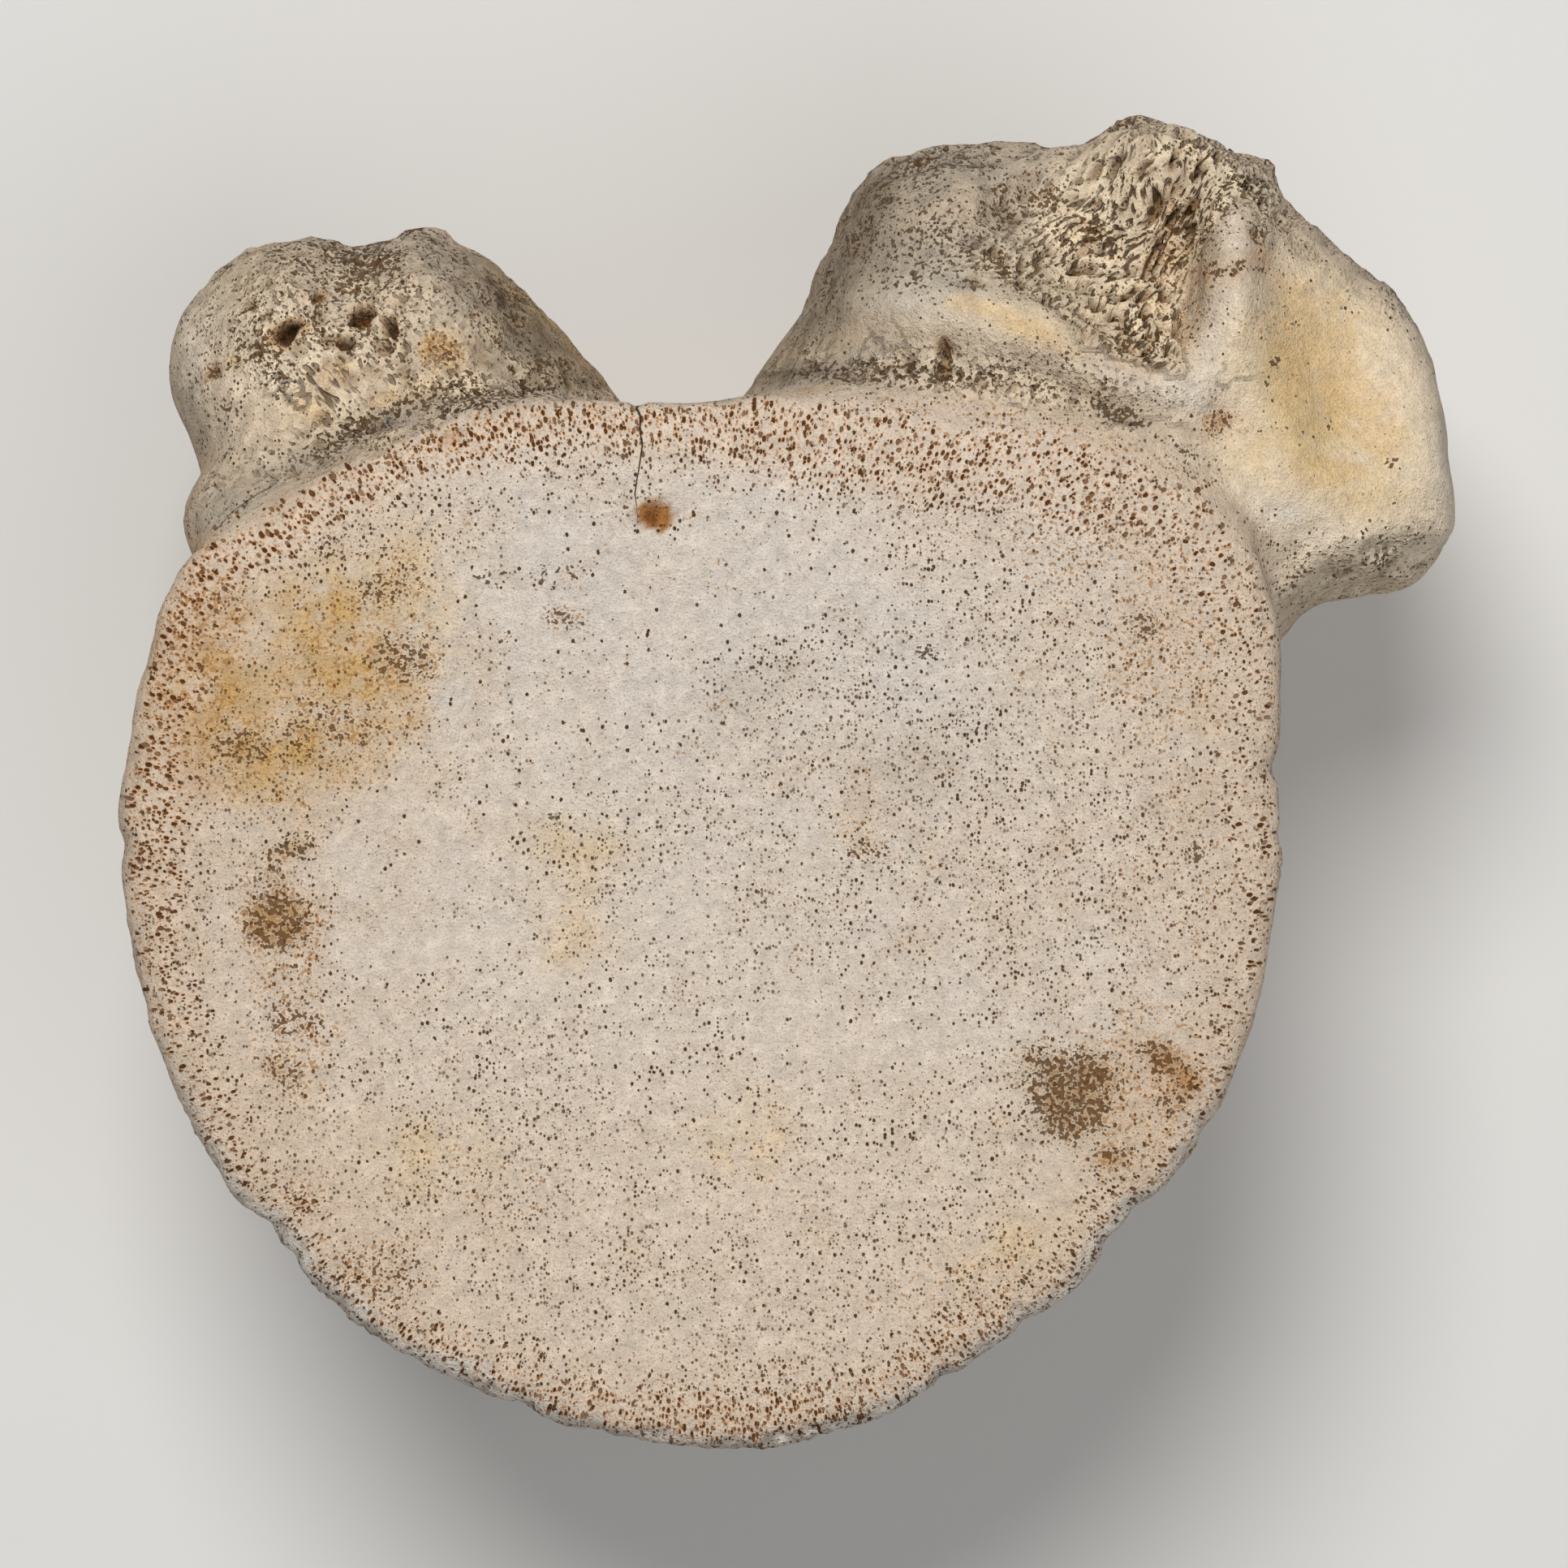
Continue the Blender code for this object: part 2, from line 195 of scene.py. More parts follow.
def blob(flat, x, y, half_x, half_y=None, turn=0.0):
    """1 at the middle of an oval and 0 on its outline, falling on outside it."""
    half_y = half_y or half_x
    a = math.radians(turn)
    dx, dy = flat[:, 0] - x, flat[:, 1] - y
    u = (dx * math.cos(a) + dy * math.sin(a)) / half_x
    v = (dy * math.cos(a) - dx * math.sin(a)) / half_y
    return 1 - np.hypot(u, v)


def soft_blob(flat, x, y, half_x, half_y=None, turn=0.0):
    """A soft round hill of height 1, near 0 at twice the half sizes."""
    gap = 1 - blob(flat, x, y, half_x, half_y, turn)
    return np.exp(-gap * gap * 0.9)


# ---------------------------------------------------------------- mesh

def finer_copy(node):
    """The node's shape as an even grid of small faces with its flats smoothed out."""
    mesh = node.data.copy()
    bm = bmesh.new()
    bm.from_mesh(mesh)
    bmesh.ops.remove_doubles(bm, verts=bm.verts, dist=1e-6)
    bm.to_mesh(mesh)
    bm.free()
    obj = bpy.data.objects.new("vertebra_bone", mesh)
    bpy.context.scene.collection.objects.link(obj)
    remesh = obj.modifiers.new("even", "REMESH")
    remesh.mode = "VOXEL"
    remesh.voxel_size = VOXEL * MM
    smooth = obj.modifiers.new("smooth", "SMOOTH")
    smooth.factor = 0.5
    smooth.iterations = FIRST_SMOOTHING
    bpy.context.view_layer.update()
    graph = bpy.context.evaluated_depsgraph_get()
    made = bpy.data.meshes.new_from_object(obj.evaluated_get(graph))
    obj.modifiers.clear()
    obj.data = made
    return obj


def places(mesh):
    """The mesh's points in millimetres round the centrum's axis."""
    co = np.zeros(len(mesh.vertices) * 3)
    mesh.vertices.foreach_get("co", co)
    return co.reshape(-1, 3) / MM - AXIS


def put_back(mesh, points):
    mesh.vertices.foreach_set("co", ((points + AXIS) * MM).ravel())
    mesh.update()


def normals(mesh):
    made = np.zeros(len(mesh.vertices) * 3)
    mesh.vertices.foreach_get("normal", made)
    return made.reshape(-1, 3)


def evened(mesh, points, rounds, share=0.5):
    """The points moved towards the middle of their neighbours."""
    ends = np.zeros(len(mesh.edges) * 2, int)
    mesh.edges.foreach_get("vertices", ends)
    ends = ends.reshape(-1, 2)
    both = np.concatenate([ends, ends[:, ::-1]])
    count = np.maximum(np.bincount(both[:, 0], minlength=len(points)), 1)
    for _ in range(rounds):
        middle = np.stack(
            [
                np.bincount(both[:, 0], weights=points[both[:, 1], i], minlength=len(points))
                for i in range(3)
            ],
            axis=1,
        )
        points = points + (middle / count[:, None] - points) * share
    return points


def refine(mesh, wanted):
    """Splits each face whose points are all wanted into four."""
    bm = bmesh.new()
    bm.from_mesh(mesh)
    bm.verts.ensure_lookup_table()
    faces = [f for f in bm.faces if all(wanted[v.index] for v in f.verts)]
    edges = list({e for f in faces for e in f.edges})
    bmesh.ops.subdivide_edges(bm, edges=edges, cuts=1, use_grid_fill=True)
    bm.to_mesh(mesh)
    bm.free()
    mesh.update()


def rim_gap(points):
    """How far inside the front face's rim each point is."""
    angle = np.degrees(np.arctan2(points[:, 1], points[:, 0])) % 360
    radii = np.interp(angle, *zip(*RIM), period=360)
    return radii - np.hypot(points[:, 0], points[:, 1])


def broken_open(points):
    """Where the spongy inside shows: as long plates on the right, as crumbs elsewhere, 0 to 1."""
    plates = soft_blob(points, 25.5, 44.0, 9.5, 5.2, 28)
    plates += soft_blob(points, 32.0, 47.8, 5.5, 3.4, -20)
    plates += soft_blob(points, 28.8, 38.4, 3.2, 3.4, 90)
    plates *= 1 - ramp(blob(points, 18.0, 38.6, 7.5, 3.2, -18), -0.05, 0.25)
    plates *= 1 - ramp(blob(points, 33.1, 40.2, 8.0, 2.2, 76), -0.05, 0.3)
    plates *= 1 - ramp(blob(points, 27.5, 34.8, 8.0, 1.7, -18), -0.1, 0.3)
    plates *= 1 - ramp(points[:, 0], 35.5, 37.5) * (1 - ramp(points[:, 1], 44, 46.5))
    crumbs = soft_blob(points, 16.5, 35.6, 11.5, 1.5, -6) * 0.95
    crumbs += soft_blob(points, 44.6, 23.6, 5.0, 2.2, 12) * 0.85
    crumbs += soft_blob(points, -22.5, 39.2, 9.5, 5.6, -12) * 0.9
    crumbs += soft_blob(points, -24.0, 31.4, 11.0, 1.5, 22) * 0.8
    crumbs += soft_blob(points, -12.0, 34.6, 6.0, 1.2, 10) * 0.8
    deep = ramp(points[:, 2], 20, 34)
    plates = np.clip(plates, 0, 1) * deep
    return plates, np.clip(crumbs, 0, 1) * deep * (1 - plates)


def arch_part(points):
    """1 on the arch and the process, 0 on the centrum."""
    return ramp(-rim_gap(points), -0.4, 0.8) * ramp(points[:, 1], 14, 20)


bone = finer_copy(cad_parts["vertebra"])
mesh = bone.data
points = places(mesh)
facing = normals(mesh)[:, 2]
shown = ((facing > 0.15) & (points[:, 2] > 32)) | ((facing > -0.15) & (points[:, 2] > 46))
refine(mesh, shown)
points = evened(mesh, places(mesh), STEP_SMOOTHING)
put_back(mesh, points)
facing = normals(mesh)[:, 2]
rough = (sum(broken_open(points)) > 0.42) & (facing > 0.1) & (points[:, 2] > 36)
refine(mesh, rough)
points = evened(mesh, places(mesh), 1)
# The face runs on into the process without an edge
merged = soft_blob(points, 34.0, 25.0, 4.0, 8.0, 35) * ramp(points[:, 2], 42, 46)
points += (evened(mesh, points, 16) - points) * merged[:, None]
put_back(mesh, points)
mesh.calc_loop_triangles()
print("triangles", len(mesh.loop_triangles), "points", len(points))

# ---------------------------------------------------------------- fields on the points

normal = normals(mesh)
x, y, z = points.T
radius = np.hypot(x, y)
angle = np.degrees(np.arctan2(y, x)) % 360
gap = rim_gap(points)
arch = arch_part(points)
up = ramp(normal[:, 2], 0.25, 0.8)
face = up * (1 - arch) * ramp(z, 44, 48)
side = (1 - ramp(np.abs(normal[:, 2]), 0.35, 0.75)) * (1 - arch)
plated, crumbly = (part * (1 - face) for part in broken_open(points))
crumbly = crumbly * np.clip(0.72 + layered(points, 3.0, 25, 2) * 0.9, 0, 1)
spongy = plated + crumbly

# Directions of the spongy bone's plates: steeper towards the buttress on the right
bend = np.maximum(x - 24, 0)
swirl = noise(points, 5.5, 11) * 1.5
swirl_2 = noise(points, 2.6, 12) * 0.55
across = (y - 0.72 * (x - 24) - 0.062 * bend**2) * 0.74 + swirl + swirl_2
along = 0.78 * x + 0.62 * y + noise(points, 4.0, 13)
plates = np.stack([across, along / 2.7, z / 1.8], axis=1)
first, second, owner = cell_gaps(plates, 21)
long_hollow = ramp(second - first, 0.12, 0.45) * ramp(owner[:, 0], 0.0, 0.5)
wavy = points + np.stack([swirl_2, -swirl_2, swirl], axis=1) * 0.5
first, _, owner = cell_gaps(wavy / 1.75, 22)
large_hollow = ramp(0.46 - first, 0.0, 0.2) * ramp(owner[:, 0], 0.45, 0.7)
first, _, owner = cell_gaps(wavy / np.array((0.72, 0.85, 0.9)), 23)
small_hollow = 0.75 * ramp(0.5 - first, 0.0, 0.25) * ramp(owner[:, 0], 0.3, 0.6)
round_hollow = np.maximum(large_hollow, small_hollow)
hollow = np.where(plated > crumbly, long_hollow, round_hollow)

# ---------------------------------------------------------------- relief

# Pits and holes: x, y, half sizes, turn, depth
PITS = (
    (-27.2, 38.5, 0.95, 0.7, 25, 2.2),
    (-22.4, 39.6, 0.85, 0.6, 35, 2.0),
    (-20.5, 38.9, 0.45, 0.75, 10, 1.7),
    (-23.4, 37.9, 0.55, 0.4, 0, 1.2),
    (-25.2, 40.9, 0.4, 0.3, 20, 0.8),
    (-29.6, 40.3, 0.4, 0.3, -30, 0.7),
    (-32.3, 36.1, 0.5, 0.45, 0, 0.6),
    (15.4, 37.0, 0.4, 0.8, 10, 0.9),
    (17.6, 41.2, 0.45, 0.3, -40, 0.5),
    (35.3, 44.6, 0.4, 0.3, 0, 0.6),
    (-3.1, 26.4, 1.0, 0.9, 0, 0.3),
    (-16.2, 31.3, 0.6, 0.7, 0, 0.5),
    (-21.1, 26.9, 0.35, 0.35, 0, 0.6),
)
# Crests on the arch: the points they run through, half width, height
CRESTS = (
    (((10.5, 40.0), (16.0, 40.2), (21.0, 38.4), (26.0, 36.0), (30.0, 34.9)), 1.5, 0.75),
    (((35.0, 46.0), (33.8, 43.2), (32.5, 39.0), (32.1, 36.0), (31.8, 34.2)), 1.7, 0.7),
    (((44.5, 41.8), (47.6, 37.0), (49.2, 31.0), (48.8, 26.2)), 1.1, 0.55),
    (((47.5, 26.0), (44.0, 25.9), (40.0, 24.2), (37.2, 21.6)), 0.9, 0.6),
)
# Wide soft hollows in the broken bone, in the same form as the pits
HOLLOWS = (
    (30.4, 44.6, 1.7, 2.8, -15, 1.2),
    (28.2, 38.0, 2.6, 2.2, 0, 0.9),
    (20.2, 46.8, 3.0, 0.9, 15, 0.7),
    (35.9, 48.4, 1.8, 1.2, 0, 0.7),
    (24.8, 33.6, 2.6, 0.8, -20, 0.8),
    (-24.5, 34.6, 2.6, 1.8, -45, 0.3),
)
# Blood vessel openings on the sides: angle, height, half width and half height, depth
VESSELS = (
    (259, 27.0, 1.2, 2.1, 1.8), (284, 25.5, 1.1, 1.9, 1.7), (198, 30.0, 0.7, 1.1, 1.0),
    (226, 19.0, 0.6, 0.9, 0.8), (312, 33.0, 0.6, 1.0, 0.8), (343, 21.0, 0.7, 1.2, 1.0),
    (271, 38.0, 0.5, 0.9, 0.7), (185, 16.0, 0.5, 0.9, 0.7),
)
# Shallow dish of the process
DISH = (41.0, 33.5, 5.2, 8.0, 14)
DISH_DEPTH = 0.8
# Chips out of the rim: angle, half width in degrees, depth
CHIPS = (
    (214.5, 2.0, 0.5), (218.5, 1.2, 0.35), (226, 1.6, 0.3), (249, 2.2, 0.45), (236, 1.3, 0.3),
    (258, 1.5, 0.3), (327, 2.2, 0.5), (322, 1.2, 0.35), (309, 1.4, 0.35), (298, 1.3, 0.3),
    (15.5, 1.2, 0.45), (9, 1.0, 0.25), (188, 1.3, 0.2), (172, 1.2, 0.2), (338, 1.3, 0.3),
)
# Notch where the upper crack opens at the rim
NOTCH_X = -4.35
NOTCH_HALF_WIDTH = 0.42


def chain_gap(corners):
    """Distance in plan from a chain of straight pieces."""
    nearest = np.full(len(points), 99.0)
    for (ax, ay), (bx, by) in zip(corners, corners[1:]):
        run = np.array((bx - ax, by - ay))
        away_x, away_y = x - ax, y - ay
        t = np.clip((away_x * run[0] + away_y * run[1]) / (run @ run), 0, 1)
        nearest = np.minimum(nearest, np.hypot(away_x - run[0] * t, away_y - run[1] * t))
    return nearest


outward = np.stack([x / radius, y / radius, np.zeros(len(x))], axis=1)
lift = layered(points, 7.0, 31, 2) * 0.12 + noise(points, 2.3, 33) * 0.07
low_side = side * (1 - ramp(z, 34, 45))
lift += low_side * noise(points, (1.1, 1.1, 6.0), 34) * 0.16
lift += low_side * noise(points, (2.6, 2.6, 12.0), 35) * 0.30
lift += side * noise(points, (5.5, 5.5, 16.0), 89) * 0.30 * ramp(z, 3, 9) * (1 - ramp(z, 38, 44))
lift += face * noise(points, 1.0, 36) * 0.035
sunk = np.where(plated > crumbly, hollow * 0.95 - 0.3, hollow * 0.55 - 0.12)
lift -= spongy * ramp(normal[:, 2], -0.6, 0.1) * sunk
lift += spongy * (layered(points, 3.0, 37, 2) * 0.42 + noise(points, 1.0, 38) * 0.16)
bevel = ramp(z, 45, 48.5) * (1 - ramp(gap, 0.6, 2.6)) * (1 - arch)
low_rim = ramp(-np.sin(np.radians(angle)), 0.1, 0.6)
worn = bevel * (0.3 + 0.9 * low_rim) * np.clip(0.8 + noise(points, 7.0, 83), 0.3, 1.4)
first, second, owner = cell_gaps((points + swirl_2[:, None]) / np.array((2.3, 2.3, 1.6)), 24)
chipped = owner[:, 0] ** 2 * ramp(second - first, 0.0, 0.25)
crumbs = noise(points, 0.9, 84) * 0.07 + noise(points, 0.5, 86) * 0.12
lift += worn * (0.1 - chipped * 0.42 + crumbs)
vessel_edge = np.zeros(len(points))
vessel_floor = np.zeros(len(points))
for at, height, half_x, half_z, depth in VESSELS:
    arc = np.radians((angle - at + 180) % 360 - 180) * radius
    inside = 1 - np.hypot(arc / half_x, (z - height) / half_z) + noise(points, 1.6, 90) * 0.15
    lift -= depth * ramp(inside, -0.2, 0.6) * side
    vessel_edge = np.maximum(vessel_edge, ramp(inside, -0.9, 0.0))
    vessel_floor = np.maximum(vessel_floor, ramp(inside, -0.1, 0.4))
arch_front = arch * up * (1 - spongy)
for corners, half, rise in CRESTS:
    lift += rise * np.exp(-((chain_gap(corners) / half) ** 2)) * arch * ramp(normal[:, 2], 0.0, 0.4)
lift -= DISH_DEPTH * soft_blob(points, *DISH) * arch_front
broken_top = arch * (1 - up) * ramp(y, 36, 42)
lift += broken_top * (layered(points, 2.4, 85, 2) * 0.34 + noise(points, 1.0, 87) * 0.12)
lift += arch * (1 - spongy) * layered(points, 3.2, 39, 2) * 0.10
near_edge = ramp(z, 42, 48) * (1 - ramp(gap, 0.5, 3.0)) * (1 - arch)
sideways = np.stack([noise(points, 6.0, 47), noise(points, 6.0, 48), np.zeros(len(x))], axis=1)
bent = points + sideways * 2.5
ragged = layered(bent, 6.5, 41, 2) * 0.17 - ramp(noise(bent, 4.1, 43), 0.3, 0.6) * 0.16
ragged += noise(bent, (1.2, 1.2, 2.0), 45) * 0.03 + noise(bent, 0.6, 46) * 0.05
pit_edge = np.zeros(len(points))
pit_floor = np.zeros(len(points))
uneven = noise(points, 0.9, 88) * 0.35
for px, py, hx, hy, turn, depth in HOLLOWS:
    lift -= depth * soft_blob(points, px, py, hx, hy, turn) * ramp(z, 34, 40)
for px, py, hx, hy, turn, depth in PITS:
    inside = blob(points, px, py, hx * 1.15, hy * 1.15, turn) + uneven
    lift -= depth * ramp(inside, 0.0, 0.4) * ramp(z, 34, 40)
    pit_edge = np.maximum(pit_edge, ramp(inside, -0.5, 0.0) * min(depth, 1.0))
    pit_floor = np.maximum(pit_floor, ramp(inside, 0.0, 0.3) * min(depth, 1.0))
move = normal * lift[:, None] + outward * (near_edge * ragged)[:, None]
front_edge = ramp(z, 38, 46) * (1 - ramp(gap, 0.8, 3.5)) * (1 - arch)
for at, half, depth in CHIPS:
    off = (angle - at + 180) % 360 - 180
    move -= outward * (depth * np.exp(-((off / half) ** 2)) * front_edge)[:, None]
notch = np.exp(-(((x - NOTCH_X) / NOTCH_HALF_WIDTH) ** 2)) * ramp(y, 32.6, 35.0)
notch *= ramp(z, 44, 50) * (1 - arch)
move -= np.array((0, 0.6, 0.8)) * notch[:, None]
# The rear face stays flat, as the bone rests on it
off_floor = ramp(z, 0.15, 2.4)
points = points + move * off_floor[:, None]
points[:, 2] = np.maximum(points[:, 2], 0.0)
put_back(mesh, points)

# ---------------------------------------------------------------- tints

wide = layered(points, 9.0, 51, 3)
mid = layered(points, 3.0, 54, 3)
small = layered(points, 1.1, 57, 2)
fleck = noise(points, 0.7, 59)
wobble = mid * 0.25 + small * 0.22


def stain(tint, colour, strength, spots, soft=0.35):
    """Ragged spots of one colour: x, y, half sizes and turn of each."""
    for spot in spots:
        cover = ramp(blob(points, *spot) + wobble, 0.0, soft)
        tint = blend(tint, colour, cover * strength * ramp(z, 25, 35))
    return tint


def wash(tint, colour, strength, spots):
    """Soft wide clouds of one colour."""
    for spot in spots:
        cloud = soft_blob(points, *spot) * np.clip(0.8 + wobble * 2.2, 0, 1.3)
        tint = blend(tint, colour, cloud * strength * ramp(z, 25, 35))
    return tint


def washed(tint, clouds):
    """The tint under a table's clouds, laid on in its order."""
    for colour, strength, spots in clouds:
        tint = wash(tint, colour, strength, spots)
    return tint


# Clouds of colour in the order they are laid on: colour, strength, and for each
# cloud x, y, half sizes and turn
FACE_CLOUDS = (
    (OCHRE, 0.76, (
        (-22.6, 16.0, 5.2, 5.6), (-27.8, 10.8, 4.6, 3.0), (-24.5, 20.5, 4.0, 2.5),
        (-31.0, 15.5, 3.0, 3.5),
    )),
    (ORANGE, 0.26, (
        (-32.2, 19.7, 2.6, 4.6, 20), (-34.4, 12.5, 1.8, 4.0), (-33.0, 18.0, 2.4, 8.0, 10),
        (-33.5, 8.0, 1.6, 6.0), (-26.5, 27.2, 5.0, 1.6, 30), (-15.0, 31.8, 5.5, 1.3, 14),
        (6.0, 31.0, 7.5, 1.7, -3), (18.0, 28.3, 6.5, 1.7, -14), (-29.3, 11.9, 0.8),
        (14.2, 28.2, 3.2, 1.3), (29.5, -10.5, 3.2, 2.4, -20),
    )),
    (SAND, 0.5, ((29.0, 21.5, 3.0, 5.0, 20), (31.5, 12.0, 2.4, 5.5), (27.0, -11.5, 6.5, 4.6, 20))),
    (YELLOW, 0.42, (
        (-8.5, 0.4, 2.3, 2.8), (-9.5, -2.4, 0.8), (-18.8, 22.0, 3.0, 4.0),
        (-17.5, -14.5, 3.4, 2.2), (2.5, -13.5, 3.0, 2.0), (9.6, 5.2, 1.8, 1.2),
        (19.5, -20.5, 4.0, 1.6, 25), (-8.0, 5.6, 3.4, 1.8),
    )),
    (SAND, 0.35, (
        (-13.7, 5.6, 3.4, 2.0), (11.0, 8.5, 5.0, 3.5), (16.0, 2.0, 5.0, 5.0),
        (-18.0, -20.0, 5.0, 3.0),
    )),
    (GREY, 0.28, ((3.0, 15.5, 3.2, 2.4), (13.9, 10.3, 3.4, 2.4))),
)
FACE_STAINS = (
    (DEEP_OCHRE, 0.65, ((-27.6, 0.3, 1.8, 2.2), (-26.4, 5.0, 1.5, 0.7), (-27.2, -9.2, 1.0, 1.0))),
    (MOSS_BROWN, 0.75, ((23.3, -10.8, 2.3, 2.7, 0),)),
    (RUST_BROWN, 0.85, (
        (29.4, -8.2, 1.3, 0.8, -35), (31.0, -9.8, 1.0, 0.7, -50), (26.1, -15.0, 0.8, 0.6),
    )),
)
ARCH_CLOUDS = (
    (YELLOW, 0.80, (
        (39.9, 35.8, 4.3, 6.6, 14), (39.4, 30.8, 4.6, 3.4), (43.0, 27.6, 2.8, 1.4),
        (20.6, 38.6, 3.6, 1.0, -28), (37.6, 36.0, 1.8, 3.6, 10), (-25.9, 33.9, 2.8, 1.6, -40),
        (-18.9, 34.3, 2.4, 0.9, 20), (-30.4, 41.8, 1.6, 1.2),
    )),
    (PALE_EDGE, 0.8, (
        (48.8, 31.0, 1.1, 6.0, 2), (32.6, 37.6, 1.0, 5.0, -16), (34.4, 43.5, 2.2, 2.6),
        (26.8, 35.4, 6.0, 0.9, -18), (29.5, 35.0, 5.0, 0.9, -22), (38.5, 26.4, 3.6, 1.3, -20),
        (14.0, 40.4, 3.2, 1.2, 5), (-33.8, 38.0, 1.4, 4.0), (48.0, 23.4, 2.0, 1.2),
    )),
    (BROKEN_CREAM, 0.75, ((44.0, 23.8, 6.0, 2.6, 10),)),
    (STUMP_CREAM, 0.72, (
        (-28.0, 36.0, 5.5, 4.5), (-24.5, 34.5, 3.5, 2.5, -45), (-31.5, 40.0, 2.5, 3.0),
    )),
)
GREY_CLOUDS = (
    (GREY, 0.74, (
        (-18.6, 44.0, 6.0, 1.8, -20), (-23.2, 31.5, 6.2, 1.2, 22), (11.0, 45.5, 4.4, 4.6),
        (12.0, 36.2, 6.5, 1.3, -4), (18.6, 44.2, 4.0, 2.4, 20), (15.0, 42.8, 5.0, 2.4),
        (-13.5, 40.0, 3.4, 3.4), (6.0, 40.0, 2.4, 4.5, -30), (17.0, 49.5, 6.0, 1.8),
        (-10.5, 37.5, 4.0, 3.0, -45), (-30.5, 27.5, 2.6, 1.4, 30), (35.5, 49.0, 3.0, 2.0),
        (8.0, 36.6, 3.5, 1.4, 12),
    )),
)
# Darker clouds in the broken hollows and pits and along the groove where the arch meets the face:
# partly the stained colour of the broken bone, partly painted shade in these recesses
SHADE_AND_STAIN_IN_HOLLOWS = (
    (HOLLOW_GOLD, 0.8, (
        (30.4, 44.6, 1.7, 3.0, -15), (28.0, 38.0, 3.0, 2.2), (-17.0, 37.4, 1.4, 1.1),
        (-24.6, 35.6, 1.0, 0.8),
    )),
    (ORANGE, 0.7, (
        (34.0, 42.4, 1.7, 1.0, 10), (36.0, 43.6, 0.8, 1.6, 10), (33.2, 32.6, 1.4, 0.9, 20),
    )),
    (SLATE, 0.8, ((20.3, 46.6, 2.8, 0.7, 15), (16.8, 41.3, 0.8, 0.4))),
    (SLATE, 0.78, (
        (26.2, 33.1, 2.4, 0.7, -20), (6.0, 35.6, 4.5, 0.8, 10), (-13.5, 33.8, 5.5, 0.8, 12),
        (-24.0, 31.3, 6.5, 0.8, 22),
    )),
)
# Bone whose smooth skin is still on: x, y, half sizes and turn
SMOOTH_BONE = (
    (41.6, 35.5, 6.5, 9.5, 15), (31.0, 35.0, 6.0, 1.8, -22), (17.5, 39.6, 6.5, 1.9, -14),
    (4.5, 42.0, 3.0, 7.0, -20), (35.0, 38.0, 2.0, 6.0), (38.0, 29.5, 4.5, 4.0),
    (46.0, 29.5, 4.0, 7.5, 5),
)
smooth_bone = np.zeros(len(points))
for spot in SMOOTH_BONE:
    smooth_bone += soft_blob(points, *spot)
smooth_bone = np.clip(smooth_bone, 0, 1) * arch * (1 - spongy)

tint = np.tile(np.array(IVORY), (len(points), 1))
tint = blend(tint, CREAM, 0.5 + wide * 0.5 - 0.35 * soft_blob(points, 0, 14, 16, 10))
tint = blend(tint, CREAM, 0.8 * ramp(-y, -4, 16))
tint = blend(tint, SAND, 0.22 * ramp(-y, 2, 22))
tint = blend(tint, SAND, 0.40 * ramp(-x, 10, 30) + 0.32 * ramp(x, 14, 34) + 0.22 * mid)
tint = blend(tint, SAND, 0.50 * (1 - ramp(gap + mid * 1.5, 1.0, 7.5)))
top_rim = ramp(np.sin(np.radians(angle)), 0.35, 0.8)
tint = blend(tint, TAN, 0.15 * top_rim * (1 - ramp(gap + mid, 0.5, 6.0)) * (0.7 + small))
tint = washed(tint, FACE_CLOUDS)
edge_band = low_rim * (1 - ramp(gap + small * 0.5 + wide * 0.8, 0.6, 2.0)) * ramp(z, 40, 46)
# The worn bevel of the lower rim whitened: its own pale colour, made paler still as painted light
# against the shade of the bevel, which faces away from the key light
tint = blend(tint, LIT_EDGE_WHITE, edge_band * 0.85)
tint = blend(tint, SLATE, edge_band * np.clip(small * 1.1 + fleck * 0.6 - 0.05, 0, 0.75))
tint = washed(tint, FACE_STAINS)

# Arch: tan bone, yellow process, greyer and darker tops; painted shade on its steep sides, in its
# hollows, along the groove and in the canal
own_colour = arch * (1 - soft_blob(points, 33.0, 27.0, 4.0, 6.0, 35) * 0.8)
tint = blend(tint, ARCH_TAN, own_colour * 0.85)
tint = blend(tint, GREY, arch * np.clip(0.16 + mid * 0.8, 0, 0.8) * (1 - smooth_bone))
tint = blend(tint, SAND, arch * np.clip(0.05 - mid * 0.45, 0, 0.5))
tint = blend(tint, SMOOTH_CREAM, smooth_bone * 0.88)
tint = washed(tint, ARCH_CLOUDS)
# Painted shade: the arch's upper surfaces that face sideways rather than to the front are darkened,
# except where the process broke off
shade_on_steep = arch * (1 - up) * ramp(z, 22, 34) * (1 - soft_blob(points, 44.0, 23.5, 7.0, 4.0))
tint = blend(tint, STEEP_SHADE_BROWN, shade_on_steep * 0.5)
tint = washed(tint, GREY_CLOUDS)
tint = stain(tint, LIP_CREAM, 0.2, ((16.5, 40.2, 7.0, 1.8, -12), (33.0, 35.0, 4.0, 1.2, -10)), 0.5)
tint = stain(
    tint, GOLD, 0.5,
    (
        (39.8, 37.2, 4.2, 6.2, 14), (40.6, 29.4, 3.6, 1.7, 6), (43.8, 33.0, 2.2, 3.6),
        (21.0, 38.2, 5.0, 0.9, -28), (16.8, 40.0, 2.0, 0.8, -10), (-25.6, 33.6, 2.4, 1.3, -35),
        (-27.2, 38.2, 1.8, 1.3, 20), (-17.0, 37.4, 2.2, 1.7), (-30.8, 36.6, 1.2, 0.8),
        (-23.4, 36.2, 1.3, 0.8), (-21.0, 34.2, 1.6, 0.8, 20),
    ),
    0.6,
)
# Painted shade, over the broken bone's stains, in the hollows and along the groove
tint = washed(tint, SHADE_AND_STAIN_IN_HOLLOWS)
